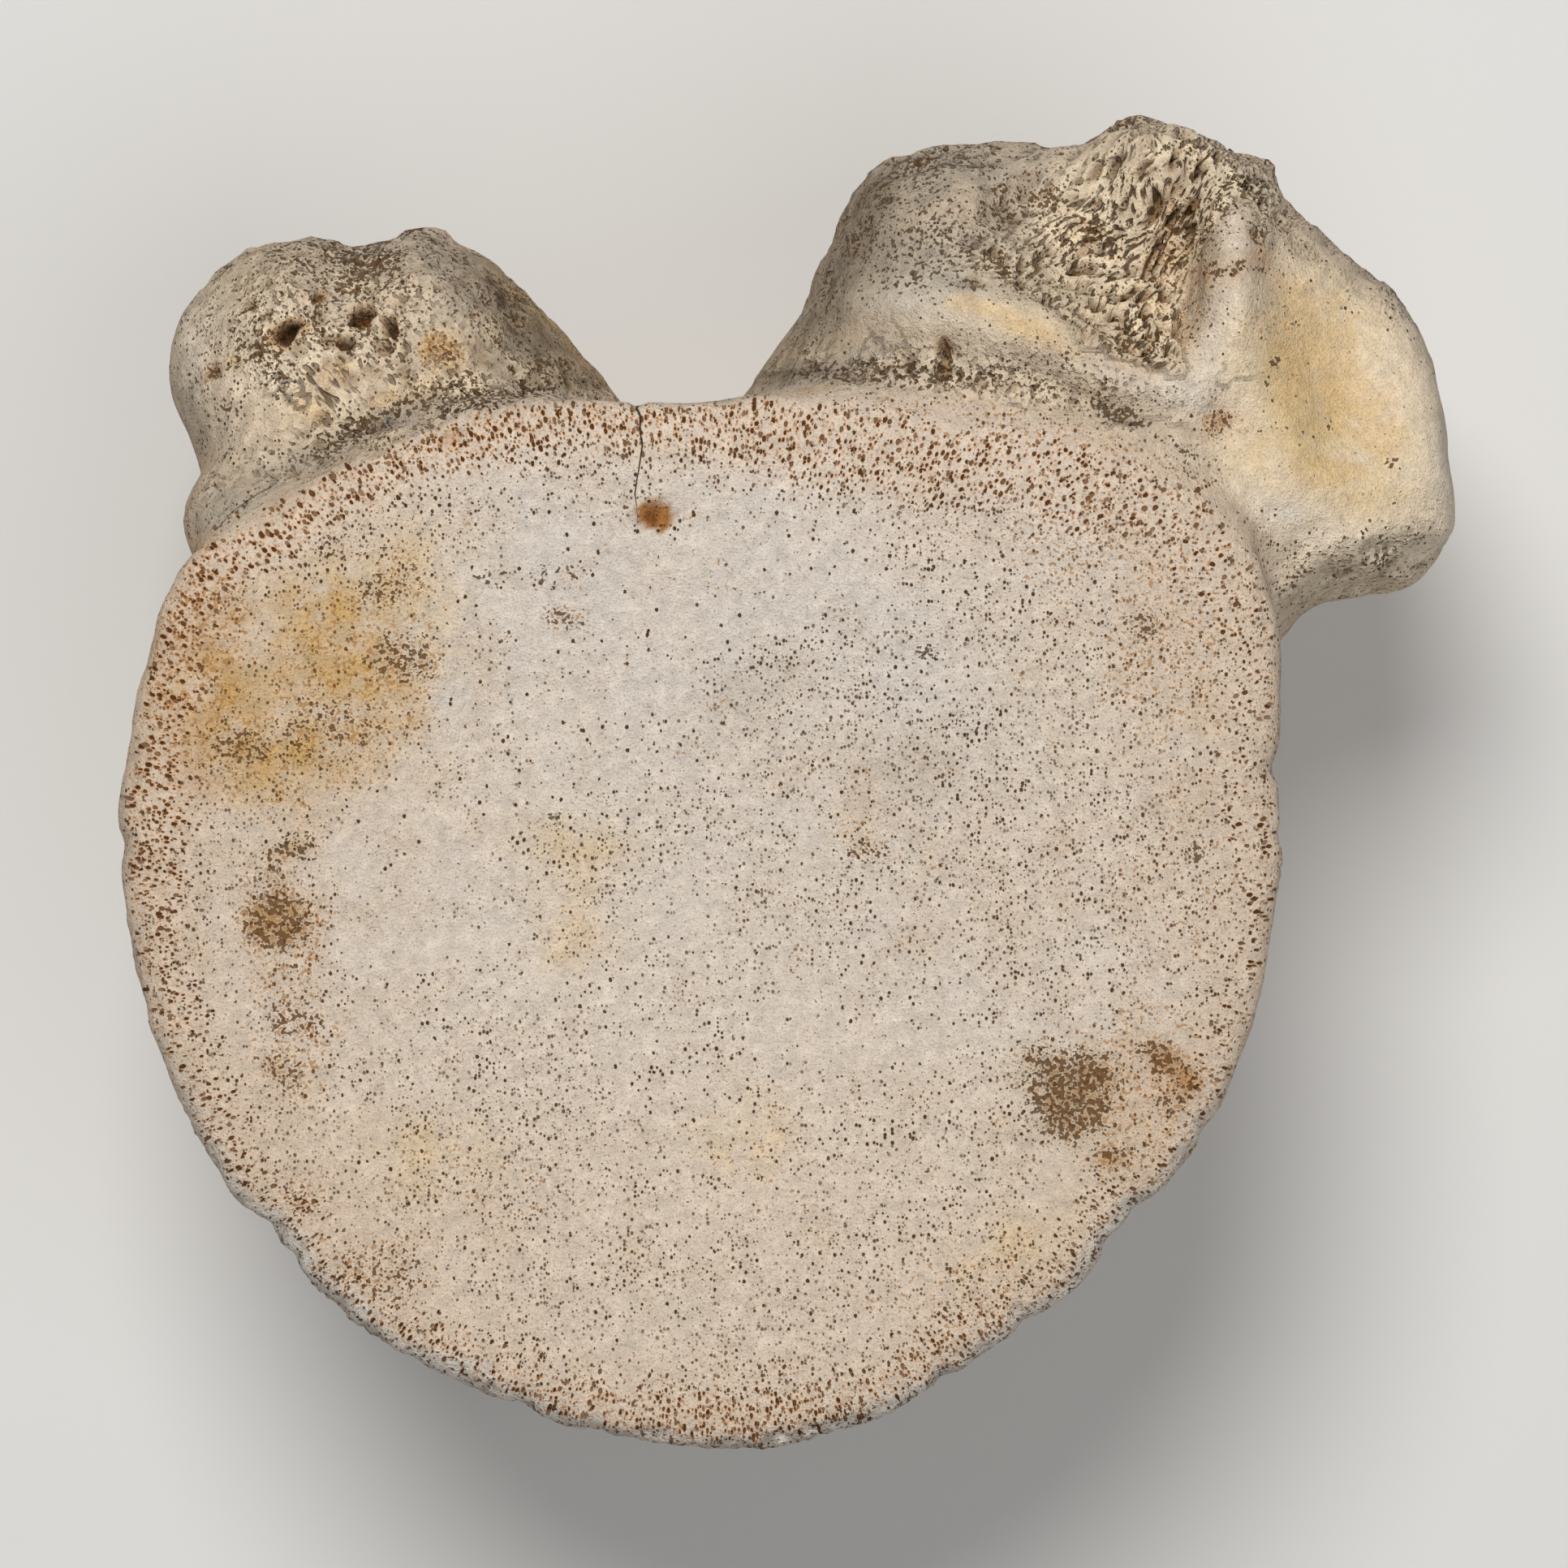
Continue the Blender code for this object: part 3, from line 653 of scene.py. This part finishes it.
# Painted shade on the walls of the neural canal, darker further down
into_canal = np.where(x > -2, ramp(-normal[:, 0], 0.2, 0.7), ramp(normal[:, 0], 0.2, 0.7))
canal_shade = arch * into_canal * (1 - ramp(np.abs(x + 1.6), 13, 17)) * ramp(51 - z, 0, 13)
tint = blend(tint, CANAL_SHADE_BROWN, canal_shade * 0.95)
tint = stain(tint, RUST_SPOT, 0.97, ((-3.1, 26.4, 1.2, 1.1), (-16.3, 31.3, 0.65, 0.7)), 0.2)
tint = stain(tint, RUST_CORE, 0.9, ((-3.4, 26.3, 0.4, 0.75), (-16.3, 31.2, 0.3, 0.35)), 0.3)
tint = blend(tint, PIT_ORANGE, pit_edge * arch * np.clip(0.6 + mid, 0, 0.92))
tint = blend(tint, PIT_DARK, pit_floor * arch * 0.95)

# Rusty grains: x, y and half sizes of where they gather, and how thickly
OCHRE_GRAINS = (
    (-22.6, 16.0, 6.5, 7.0, 0.8), (-27.8, 10.8, 5.7, 4.0, 0.75), (-32.4, 18.0, 4.0, 8.0, 0.9),
    (-19.5, 20.0, 3.0, 5.0, 0.7), (27.5, -10.5, 8.0, 6.5, 0.75), (26.1, -14.9, 3.0, 2.5, 0.6),
    (-27.3, 0.0, 3.6, 5.0, 0.8), (-26.7, -7.5, 3.6, 4.5, 0.75), (-8.5, 0.4, 3.2, 4.0, 0.45),
    (-17.0, 37.4, 1.9, 1.5, 1.0), (-24.6, 35.6, 2.0, 1.2, 0.8), (-32.4, 36.1, 1.2, 1.0, 0.8),
    (-20.5, -22.0, 4.0, 2.6, 0.75), (-25.7, -17.8, 2.0, 1.6, 0.8), (-12.0, -16.0, 7.0, 4.0, 0.5),
    (3.0, -16.0, 6.0, 4.0, 0.45), (0.0, -30.0, 12.0, 4.0, 0.5), (17.0, -24.0, 8.0, 4.0, 0.6),
    (29.5, 19.0, 5.0, 9.0, 0.7), (24.0, 25.0, 6.0, 4.0, 0.7), (-9.0, 19.7, 2.2, 1.2, 0.8),
    (-16.4, 31.2, 1.6, 1.4, 0.8), (30.0, 4.0, 5.0, 8.0, 0.5), (10.6, 4.8, 3.0, 1.8, 0.55),
    (33.5, 32.4, 2.4, 1.6, 0.7), (36.6, 39.2, 1.8, 1.6, 0.6), (30.5, 42.5, 3.0, 6.0, 0.7),
    (-13.9, 26.0, 2.4, 1.8, 0.5),
)
# Dark grains: x, y, half sizes and turn of where they gather, and how thickly
DARK_GRAINS = (
    (23.3, -10.8, 3.3, 3.7, 0, 1.0), (29.4, -8.2, 1.8, 1.3, -35, 0.95),
    (31.0, -9.8, 1.5, 1.1, -50, 0.75), (26.1, -15.0, 1.3, 1.0, 0, 0.8),
    (29.8, -11.6, 1.5, 0.9, 0, 0.7), (-27.6, 0.3, 2.2, 2.5, 0, 1.0),
    (-26.4, 5.0, 1.9, 0.9, 20, 0.8), (-28.0, 3.4, 1.0, 1.2, 0, 0.7),
    (-26.9, -6.0, 2.4, 1.4, 0, 0.75), (-27.2, -9.2, 1.6, 1.6, 0, 0.7),
    (-19.2, 17.4, 2.4, 1.8, 0, 0.8), (-20.4, 21.8, 2.4, 1.4, 20, 0.75),
    (-24.5, 12.5, 4.0, 2.4, 0, 0.6), (-29.5, 11.6, 2.0, 1.4, 0, 0.85),
    (-23.0, 24.2, 2.4, 1.2, 0, 0.5), (-20.5, -22.2, 3.3, 1.6, 0, 0.6),
    (-25.7, -17.8, 1.3, 1.0, 0, 0.75), (-9.0, 19.7, 1.7, 0.7, -15, 0.8),
    (-9.8, 22.6, 1.5, 1.0, 0, 0.65), (-13.8, 22.4, 1.6, 0.9, 0, 0.6),
    (14.2, 17.6, 1.0, 0.8, 0, 0.9), (12.0, 14.4, 1.0, 0.7, 0, 0.7),
    (28.3, 19.4, 1.3, 1.0, 0, 0.85), (31.6, 4.7, 0.7, 0.8, 0, 0.95), (10.4, 4.8, 1.8, 0.9, 0, 0.8),
    (17.5, 13.0, 1.0, 0.7, 0, 0.6), (-9.9, 7.0, 1.0, 0.9, 0, 0.6), (-16.9, 37.3, 1.3, 1.0, 0, 0.7),
    (26.4, 33.2, 2.4, 0.9, -20, 1.0), (33.2, 32.5, 1.3, 0.9, 20, 0.95),
    (36.2, 35.2, 0.5, 0.5, 0, 0.6), (-32.3, 36.1, 0.8, 0.7, 0, 0.9),
    (-21.0, 33.0, 7.0, 0.9, 24, 0.85), (-13.0, 34.3, 4.5, 0.8, 12, 0.8),
    (12.5, 35.6, 8.5, 1.0, -4, 0.8), (44.0, 25.0, 4.6, 1.2, 14, 0.5),
    (28.0, 37.8, 2.5, 1.6, 10, 0.75), (30.6, 44.4, 1.5, 3.2, -12, 0.7),
    (20.0, 46.6, 3.8, 1.2, 18, 0.8), (35.8, 48.2, 1.8, 1.3, 0, 0.8),
    (14.5, 44.0, 5.5, 4.0, 0, 0.6), (44.8, 30.0, 0.6, 0.5, 0, 0.9),
    (38.4, 38.9, 0.45, 0.45, 0, 0.9), (37.0, 36.6, 0.45, 0.4, 0, 0.9),
    (40.6, 32.6, 0.4, 0.4, 0, 0.9), (35.9, 44.8, 0.6, 0.8, 10, 0.9),
    (35.9, 42.6, 0.8, 0.5, 10, 0.8), (17.6, 41.2, 0.6, 0.4, -40, 0.9),
    (-31.0, 33.8, 0.6, 0.5, 0, 0.8), (-22.5, 39.3, 5.0, 2.8, 0, 0.45),
    (34.4, 42.6, 1.0, 0.7, 20, 0.95), (32.9, 42.3, 0.9, 0.6, -20, 0.9),
)


def gathered(table):
    """The thickest of the soft clouds at each point, on the upper side only."""
    found = np.zeros(len(points))
    for *spot, strength in table:
        found = np.maximum(found, ramp(blob(points, *spot) + wobble * 0.8, -0.35, 0.45) * strength)
    return found * ramp(z, 28, 36)


away = 1 - ramp(normal[:, 2], -0.1, 0.5)
ochre_grains = gathered(OCHRE_GRAINS)
ochre_grains = np.maximum(ochre_grains, 0.62 * top_rim * (1 - ramp(gap + mid, 1.0, 7.5)) * face)
ochre_grains = np.maximum(ochre_grains, 0.5 * (1 - ramp(gap + mid, 0.5, 4.5)) * face)
rough_arch = arch * (1 - smooth_bone)
everywhere = (0.2 + mid * 0.25) * face + rough_arch * (0.3 + mid * 0.3)
ochre_grains = np.maximum(ochre_grains, everywhere)
dark_grains = gathered(DARK_GRAINS)
everywhere = rough_arch * (0.35 + mid * 0.55 + wide * 0.45) + away * 0.15
dark_grains = np.maximum(dark_grains, everywhere)
dark_grains = np.maximum(dark_grains, edge_band * (0.45 + small * 0.5))

# Coarse pores along the rim
at, starts, ends, weights = np.array(PORE_BAND).T
starts, ends, weights = (np.interp(angle, at, v, period=360) for v in (starts, ends, weights))
ragged_gap = gap + mid * 0.9 + small * 0.5
in_band = ramp(ragged_gap, starts - 0.8, starts + 0.8)
in_band *= 1 - ramp(ragged_gap, ends * 0.6, ends * 1.2)
coarse = in_band * weights * (1 - 0.8 * side) * ramp(z, 40, 47)

# Sides and back: greyer, streaked along the axis
streak = noise(points, (1.3, 1.3, 9.0), 61) * 0.5 + noise(points, (0.6, 0.6, 5.0), 62) * 0.4
tint = blend(tint, np.array(SAND) * 0.95, away * 0.6)
tint = blend(tint, GREY, away * np.clip(0.36 + wide * 0.6 + streak * 0.8, 0, 0.85))
patches = layered(points, 13.0, 63, 3) * 0.9
tint = blend(tint, OCHRE, away * np.clip(patches + streak * 0.25 - 0.10, 0, 0.5))
tint = blend(tint, TAN, away * np.clip(mid * 0.6 + streak * 0.5 - 0.05, 0, 0.65))
low = 0.35 * (1 - ramp(z, 0.5, 5))
tint = blend(tint, IVORY, away * np.clip(streak * 0.9 - 0.15 + low, 0, 0.5))
tint = blend(tint, TAN, vessel_edge * side * 0.5)
tint = blend(tint, VESSEL_DARK, vessel_floor * side * 0.9)
busy = 1 + rough_arch * 1.6
# Whiter between the rim's coarse pores: the pale bone there with a painted highlight, stronger on
# the upper rim
tint = blend(tint, LIT_BAND_WHITE, coarse * (0.22 + 0.25 * top_rim))
tint *= (1 + (small * 0.07 + fleck * 0.05) * busy)[:, None]
# Painted shade in the hollows of the spongy bone, between its plates
tint = blend(tint, GAP_SHADE_BROWN, spongy * hollow * 0.80)
# The spongy bone's ridges lightened: their own pale colour with a painted highlight, held back
# along the groove between arch and face, which lies in shade
groove = soft_blob(points, -24.0, 31.2, 8.0, 1.4, 22)
groove += soft_blob(points, -12.0, 34.4, 5.0, 1.0, 10) + soft_blob(points, 8.0, 35.8, 8.0, 0.9, -2)
ridge_highlight = spongy * (1 - hollow) * 0.9 * (0.8 + mid * 0.9) * (1 - pit_floor)
tint = blend(tint, RIDGE_LIT_CREAM, ridge_highlight * (1 - 0.6 * np.clip(groove, 0, 1)))

# ---------------------------------------------------------------- weights of the fine patterns

# Where fine pores are few, and where they are many: x, y and half sizes
SPARSE_SPOTS = (
    (-9, 13, 11, 8), (-6, -1, 9, 6), (0, 22, 12, 4), (-19, 3, 4, 7), (10, -8, 6, 4), (3, -18, 5, 3),
)
DENSE_SPOTS = (
    (9.7, 18.1, 3.4, 2.9), (3.5, 15.5, 3.6, 3.2), (-11.6, -10.5, 4.9, 4.7), (-4.6, 4.1, 4.2),
    (22, 6, 9, 12),
)
fine = 0.75 + wide * 0.4 + mid * 0.45
for spot in SPARSE_SPOTS:
    fine -= 0.55 * soft_blob(points, *spot)
for spot in DENSE_SPOTS:
    fine += 0.6 * soft_blob(points, *spot)
fine = np.clip(fine, 0.08, 1.0)
fine = fine * (1 - 0.85 * smooth_bone)
sway = noise(points, 2.2, 71) * 0.5
# Cells of the rim's pores: narrow along the rim and long across it
RIM_CELLS_A_RADIAN = 124.0
RIM_CELL_LENGTH = 0.42
polar = outward * RIM_CELLS_A_RADIAN
polar[:, 2] = radius / RIM_CELL_LENGTH + z * 0.8
polar += np.stack([sway, -sway, sway * 0.3], axis=1) * 0.8
# Slanted furrows on the left stump: along and across them
STRIAE_X, STRIAE_Y = -24.8, 34.9
striae = soft_blob(points, STRIAE_X, STRIAE_Y, 3.4, 1.9, -48) * arch * up
slant = math.radians(-50)
from_x, from_y = x - STRIAE_X, y - STRIAE_Y
down_striae = from_x * math.cos(slant) + from_y * math.sin(slant)
over_striae = from_y * math.cos(slant) - from_x * math.sin(slant) + swirl_2 * 0.3
spongy = np.maximum(spongy, striae * 0.9)
# Tops of the stumps, where the arch broke off
torn = broken_top * ramp(normal[:, 1], 0.15, 0.55)
spongy = np.maximum(spongy, torn * np.clip(0.6 + mid * 0.9 + wide * 0.4, 0, 0.9))
grain = np.where(
    (x < 0)[:, None],
    np.stack([over_striae / 0.40, down_striae / 0.62 * (1 - 0.62 * striae), z / 0.6], axis=1),
    points / np.array((0.42, 0.42, 0.5)),
)
grain = np.where(
    ((plated > crumbly) | ((torn > 0) & (x > 0)))[:, None],
    np.stack([across / 0.36, along / 0.95, z / 0.7], axis=1),
    grain,
)


def keep(name, kind, values):
    """Stores one value a point for the material to read."""
    layer = mesh.attributes.new(name, kind, "POINT")
    field = {"FLOAT": "value", "FLOAT_VECTOR": "vector", "FLOAT_COLOR": "color"}[kind]
    if kind == "FLOAT_COLOR":
        values = np.column_stack([values, np.ones(len(values))])
    layer.data.foreach_set(field, np.ascontiguousarray(values, dtype=np.float32).ravel())


keep("tint", "FLOAT_COLOR", np.clip(tint, 0.01, 0.9))
keep("polar", "FLOAT_VECTOR", polar)
keep("grain", "FLOAT_VECTOR", grain)
keep("pores", "FLOAT_VECTOR", np.column_stack([coarse, fine, spongy]))
keep("marks", "FLOAT_VECTOR", np.column_stack([ochre_grains, smooth_bone, dark_grains]))
# Cracks: distance from the line over its half width, so 1 at its edge
CRACK_A_Y = (25.3, 25.7, 27.8, 29.0, 30.9, 32.4, 33.8, 36.0)
CRACK_A_X = (-4.3, -4.3, -4.4, -4.2, -4.0, -4.15, -4.3, -4.35)
CRACK_B_X = (-32.5, -31.6, -29.6, -28.0, -26.0)
CRACK_B_Y = (24.6, 25.6, 27.5, 28.7, 29.6)
CRACK_B_HALF_WIDTH = 0.075
half_width = np.interp(y, (25.2, 27.0, 30.0, 34.0), (0.01, 0.04, 0.075, 0.13))
wander = noise(points, 1.4, 81) * 0.22
crack_a = (x - np.interp(y, CRACK_A_Y, CRACK_A_X) + wander) / half_width
along_a = ramp(y, 25.3, 26.5) * ramp(z, 44, 47)
# The second crack runs at a slant, so its distance is less than the height above it
above_b = (y - np.interp(x, CRACK_B_X, CRACK_B_Y) + wander * 1.5) * 0.72
crack_b = above_b / CRACK_B_HALF_WIDTH
along_b = ramp(x, -32.8, -31.2) * (1 - ramp(x, -28.2, -27.2)) * ramp(z, 34, 38)
keep("crack_a", "FLOAT_VECTOR", np.column_stack([np.clip(crack_a, -30, 30), along_a, face]))
keep("crack_b", "FLOAT_VECTOR", np.column_stack([np.clip(crack_b, -30, 30), along_b * 0.7, face]))
mesh.shade_smooth()

# ---------------------------------------------------------------- material

material = bpy.data.materials.new("fossil_bone")
material.use_nodes = True
tree = material.node_tree
shader = tree.nodes["Principled BSDF"]
shader.inputs["Specular IOR Level"].default_value = 0.16
# Sizes of the material's patterns in millimetres, and its cells of fine pores
GRIT_SIZE = 0.14
LUMP_SIZE = 0.32
MOTTLE_SIZE = 0.8
FINE_CELLS_A_METRE = (4300.0, 3500.0, 2500.0)
# A cell whose random number is above this may hold a pore whatever the weight
STRAYS_FROM = 0.965


def plug(socket, value):
    if isinstance(value, bpy.types.NodeSocket):
        tree.links.new(value, socket)
    else:
        socket.default_value = value


def math_node(operation, a, b=None, c=None, clamp=False):
    node = tree.nodes.new("ShaderNodeMath")
    node.operation = operation
    node.use_clamp = clamp
    for socket, value in zip(node.inputs, (a, b, c)):
        if value is not None:
            plug(socket, value)
    return node.outputs[0]


def times(a, b):
    return math_node("MULTIPLY", a, b)


def attribute(name, output):
    node = tree.nodes.new("ShaderNodeAttribute")
    node.attribute_name = name
    return node.outputs[output]


def parts_of(vector):
    node = tree.nodes.new("ShaderNodeSeparateXYZ")
    plug(node.inputs[0], vector)
    return node.outputs


def scaled(vector, scale):
    node = tree.nodes.new("ShaderNodeVectorMath")
    node.operation = "MULTIPLY"
    plug(node.inputs[0], vector)
    node.inputs[1].default_value = scale
    return node.outputs[0]


def cloud(vector, size, detail, rough=0.6):
    """Cloudy noise with lumps of the given size."""
    node = tree.nodes.new("ShaderNodeTexNoise")
    plug(node.inputs["Vector"], vector)
    node.inputs["Scale"].default_value = 1 / size
    node.inputs["Detail"].default_value = detail
    node.inputs["Roughness"].default_value = rough
    return node.outputs["Fac"]


def cells(vector):
    """Scattered cells, one to a unit of the vector."""
    node = tree.nodes.new("ShaderNodeTexVoronoi")
    node.feature = "F1"
    plug(node.inputs["Vector"], vector)
    node.inputs["Scale"].default_value = 1.0
    return node


def grains(lumps, weight, level, reach, edge):
    """Ragged spots where fine noise is high, more of them where the weight is high."""
    above = math_node("SUBTRACT", lumps, math_node("MULTIPLY_ADD", weight, -reach, level))
    return math_node("MULTIPLY", above, 1 / edge, clamp=True)


def cell_holes(vector, weight, least, most, edge, unevenness, strays=0.0):
    """Separate holes, at most one in each cell: the mask of their inside and of a halo."""
    node = cells(vector)
    lot = parts_of(node.outputs["Color"])
    there = math_node("MULTIPLY", math_node("SUBTRACT", weight, lot[1]), 8.0, clamp=True)
    size = times(math_node("MULTIPLY_ADD", times(lot[0], lot[0]), most - least, least), there)
    stray = math_node("MULTIPLY", math_node("SUBTRACT", lot[2], STRAYS_FROM), 40.0, clamp=True)
    stray = times(stray, strays)
    size = math_node("MAXIMUM", size, times(stray, most * 1.1))
    there = math_node("MAXIMUM", there, stray)
    uneven_size = math_node("MULTIPLY_ADD", unevenness, 0.36, size)
    inside = math_node("SUBTRACT", uneven_size, node.outputs["Distance"])
    inside = math_node("SUBTRACT", inside, 0.18)
    mask = math_node("MULTIPLY_ADD", inside, 1 / edge, 0.25, clamp=True)
    halo = math_node("MULTIPLY_ADD", inside, 1 / (edge * 2.2), 1.0, clamp=True)
    strength = times(math_node("MULTIPLY_ADD", lot[2], 0.55, 0.60, clamp=True), there)
    return times(mask, strength), times(halo, strength)


def over(share, low, high):
    """The second colour laid over the first by its share."""
    node = tree.nodes.new("ShaderNodeMix")
    node.data_type = "RGBA"
    plug(node.inputs["Factor"], share)
    plug(node.inputs["A"], low if isinstance(low, bpy.types.NodeSocket) else (*low, 1.0))
    plug(node.inputs["B"], high if isinstance(high, bpy.types.NodeSocket) else (*high, 1.0))
    return node.outputs["Result"]


where = tree.nodes.new("ShaderNodeTexCoord").outputs["Object"]
mm = scaled(where, (1 / MM, 1 / MM, 1 / MM))
coarse_w, fine_w, spongy_w = parts_of(attribute("pores", "Vector"))
ochre_w, smooth_w, dark_w = parts_of(attribute("marks", "Vector"))
tint_in = attribute("tint", "Color")
_, _, on_face = parts_of(attribute("crack_a", "Vector"))

grit = cloud(mm, GRIT_SIZE, 1.0, rough=0.7)
mottle = cloud(mm, MOTTLE_SIZE, 2.0)
patchy = math_node("MULTIPLY_ADD", mottle, 1.6, 0.2)

crowded = times(coarse_w, math_node("MULTIPLY_ADD", mottle, 1.2, 0.5))
rim_hole, rim_halo = cell_holes(
    attribute("polar", "Vector"), crowded, least=0.22, most=0.54, edge=0.11, unevenness=grit
)
fine_cells = scaled(where, FINE_CELLS_A_METRE)
fine_hole, fine_halo = cell_holes(
    fine_cells, times(fine_w, patchy), least=0.12, most=0.50, edge=0.13, unevenness=grit,
    strays=on_face,
)
lumps = cloud(scaled(where, (1 / MM, 1 / MM, 0.6 / MM)), LUMP_SIZE, 1.0)
dips = math_node("SUBTRACT", 1.0, lumps)
ochre_grain = grains(dips, times(ochre_w, patchy), level=0.74, reach=0.22, edge=0.07)
dark_grain = grains(lumps, dark_w, level=0.74, reach=0.28, edge=0.06)

# Gaps between the plates of the spongy bone: sunk in the relief and darkened as painted shade
plate_noise = cloud(attribute("grain", "Vector"), 1.0, 1.0)
plate_gap = times(math_node("MULTIPLY_ADD", plate_noise, 9.0, -4.85, clamp=True), spongy_w)

# Colour
tone = math_node("MULTIPLY_ADD", mottle, 0.55, 0.725)
tone = math_node("MULTIPLY", tone, math_node("MULTIPLY_ADD", grit, 0.95, 0.525))
bright = tree.nodes.new("ShaderNodeVectorMath")
bright.operation = "SCALE"
plug(bright.inputs[0], tint_in)
plug(bright.inputs["Scale"], tone)
colour = bright.outputs[0]
rusty = math_node("MULTIPLY_ADD", ochre_w, 1.6, -0.4, clamp=True)
tiny = math_node("MULTIPLY_ADD", grit, 7.0, -4.2, clamp=True)
layers = (
    (times(ochre_grain, 0.75), OCHRE_GRAIN),
    (times(tiny, 0.42), SPECK),
    (times(rim_halo, times(coarse_w, 0.90)), RIM_HALO),
    (times(fine_halo, times(fine_w, 0.22)), FINE_HALO),
    (rim_hole, RIM_PORE),
    (fine_hole, over(rusty, *FINE_PORE)),
    # Painted shade in the plate gaps
    (times(plate_gap, 0.92), SHADE_IN_PLATE_GAPS),
    (times(dark_grain, 0.92), over(rusty, *DARK_GRAIN)),
)
for share, laid_on in layers:
    colour = over(share, colour, laid_on)
for name in ("crack_a", "crack_b"):
    across_crack, along_crack, _ = parts_of(attribute(name, "Vector"))
    near = math_node("SUBTRACT", 1.0, math_node("ABSOLUTE", across_crack), clamp=True)
    near = times(math_node("MULTIPLY", near, 1.6, clamp=True), along_crack)
    colour = over(near, colour, CRACK)
plug(shader.inputs["Base Color"], colour)

# Roughness
rough = math_node("MULTIPLY_ADD", mottle, 0.12, 0.80)
rough = math_node("MULTIPLY_ADD", smooth_w, -0.26, rough)
rough = math_node("MULTIPLY_ADD", rim_hole, 0.1, rough, clamp=True)
plug(shader.inputs["Roughness"], rough)

# Relief, in millimetres
rises = (
    (fine_hole, -0.06), (dark_grain, -0.08), (plate_gap, -0.30), (grit, 0.10), (lumps, 0.10),
    (mottle, 0.14),
)
height = math_node("MULTIPLY", rim_hole, -0.16)
for pattern, rise in rises:
    height = math_node("MULTIPLY_ADD", pattern, rise, height)
bump = tree.nodes.new("ShaderNodeBump")
bump.inputs["Strength"].default_value = 1.0
bump.inputs["Distance"].default_value = MM
plug(bump.inputs["Height"], height)
plug(shader.inputs["Normal"], bump.outputs[0])

mesh.materials.clear()
mesh.materials.append(material)
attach(bone, "root")
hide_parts("vertebra")

# ---------------------------------------------------------------- floor, light and camera

FLOOR_HALF = 1.5
LIT_POINT = (0, 0, 0.03)
CAMERA_PLACE = (-0.0007, -0.00055, 0.502)
CAMERA_LENS = 161

corners = [(-FLOOR_HALF, -FLOOR_HALF, 0), (FLOOR_HALF, -FLOOR_HALF, 0)]
corners += [(FLOOR_HALF, FLOOR_HALF, 0), (-FLOOR_HALF, FLOOR_HALF, 0)]
floor_mesh = bpy.data.meshes.new("floor")
floor_mesh.from_pydata(corners, [], [(0, 1, 2, 3)])
floor = bpy.data.objects.new("floor", floor_mesh)
bpy.context.scene.collection.objects.link(floor)
paint = bpy.data.materials.new("pale_floor")
paint.use_nodes = True
paint_shader = paint.node_tree.nodes["Principled BSDF"]
paint_shader.inputs["Base Color"].default_value = (0.80, 0.79, 0.77, 1)
paint_shader.inputs["Roughness"].default_value = 0.85
floor_mesh.materials.append(paint)


def softbox(name, place, size, watts, colour):
    """A round soft light turned to the bone."""
    light = bpy.data.lights.new(name, "AREA")
    light.shape = "DISK"
    light.size = size
    light.energy = watts
    light.color = colour
    obj = bpy.data.objects.new(name, light)
    bpy.context.scene.collection.objects.link(obj)
    obj.location = place
    obj.rotation_euler = (Vector(LIT_POINT) - Vector(place)).to_track_quat("-Z", "Y").to_euler()


softbox("key", (-0.10, 0.34, 0.78), 0.34, 4.8, (1.0, 0.985, 0.96))
softbox("fill", (0.30, -0.30, 0.85), 0.8, 2.4, (0.97, 0.985, 1.0))
world = bpy.data.worlds.new("studio")
bpy.context.scene.world = world
world.use_nodes = True
background = world.node_tree.nodes["Background"]
background.inputs["Color"].default_value = (0.95, 0.97, 1.0, 1)
background.inputs["Strength"].default_value = 0.13

camera_data = bpy.data.cameras.new("camera")
camera_data.sensor_width = 36
camera_data.lens = CAMERA_LENS
camera_data.clip_start = 0.01
camera = bpy.data.objects.new("camera", camera_data)
bpy.context.scene.collection.objects.link(camera)
camera.location = CAMERA_PLACE
bpy.context.scene.camera = camera
bpy.context.scene.view_settings.view_transform = "Standard"
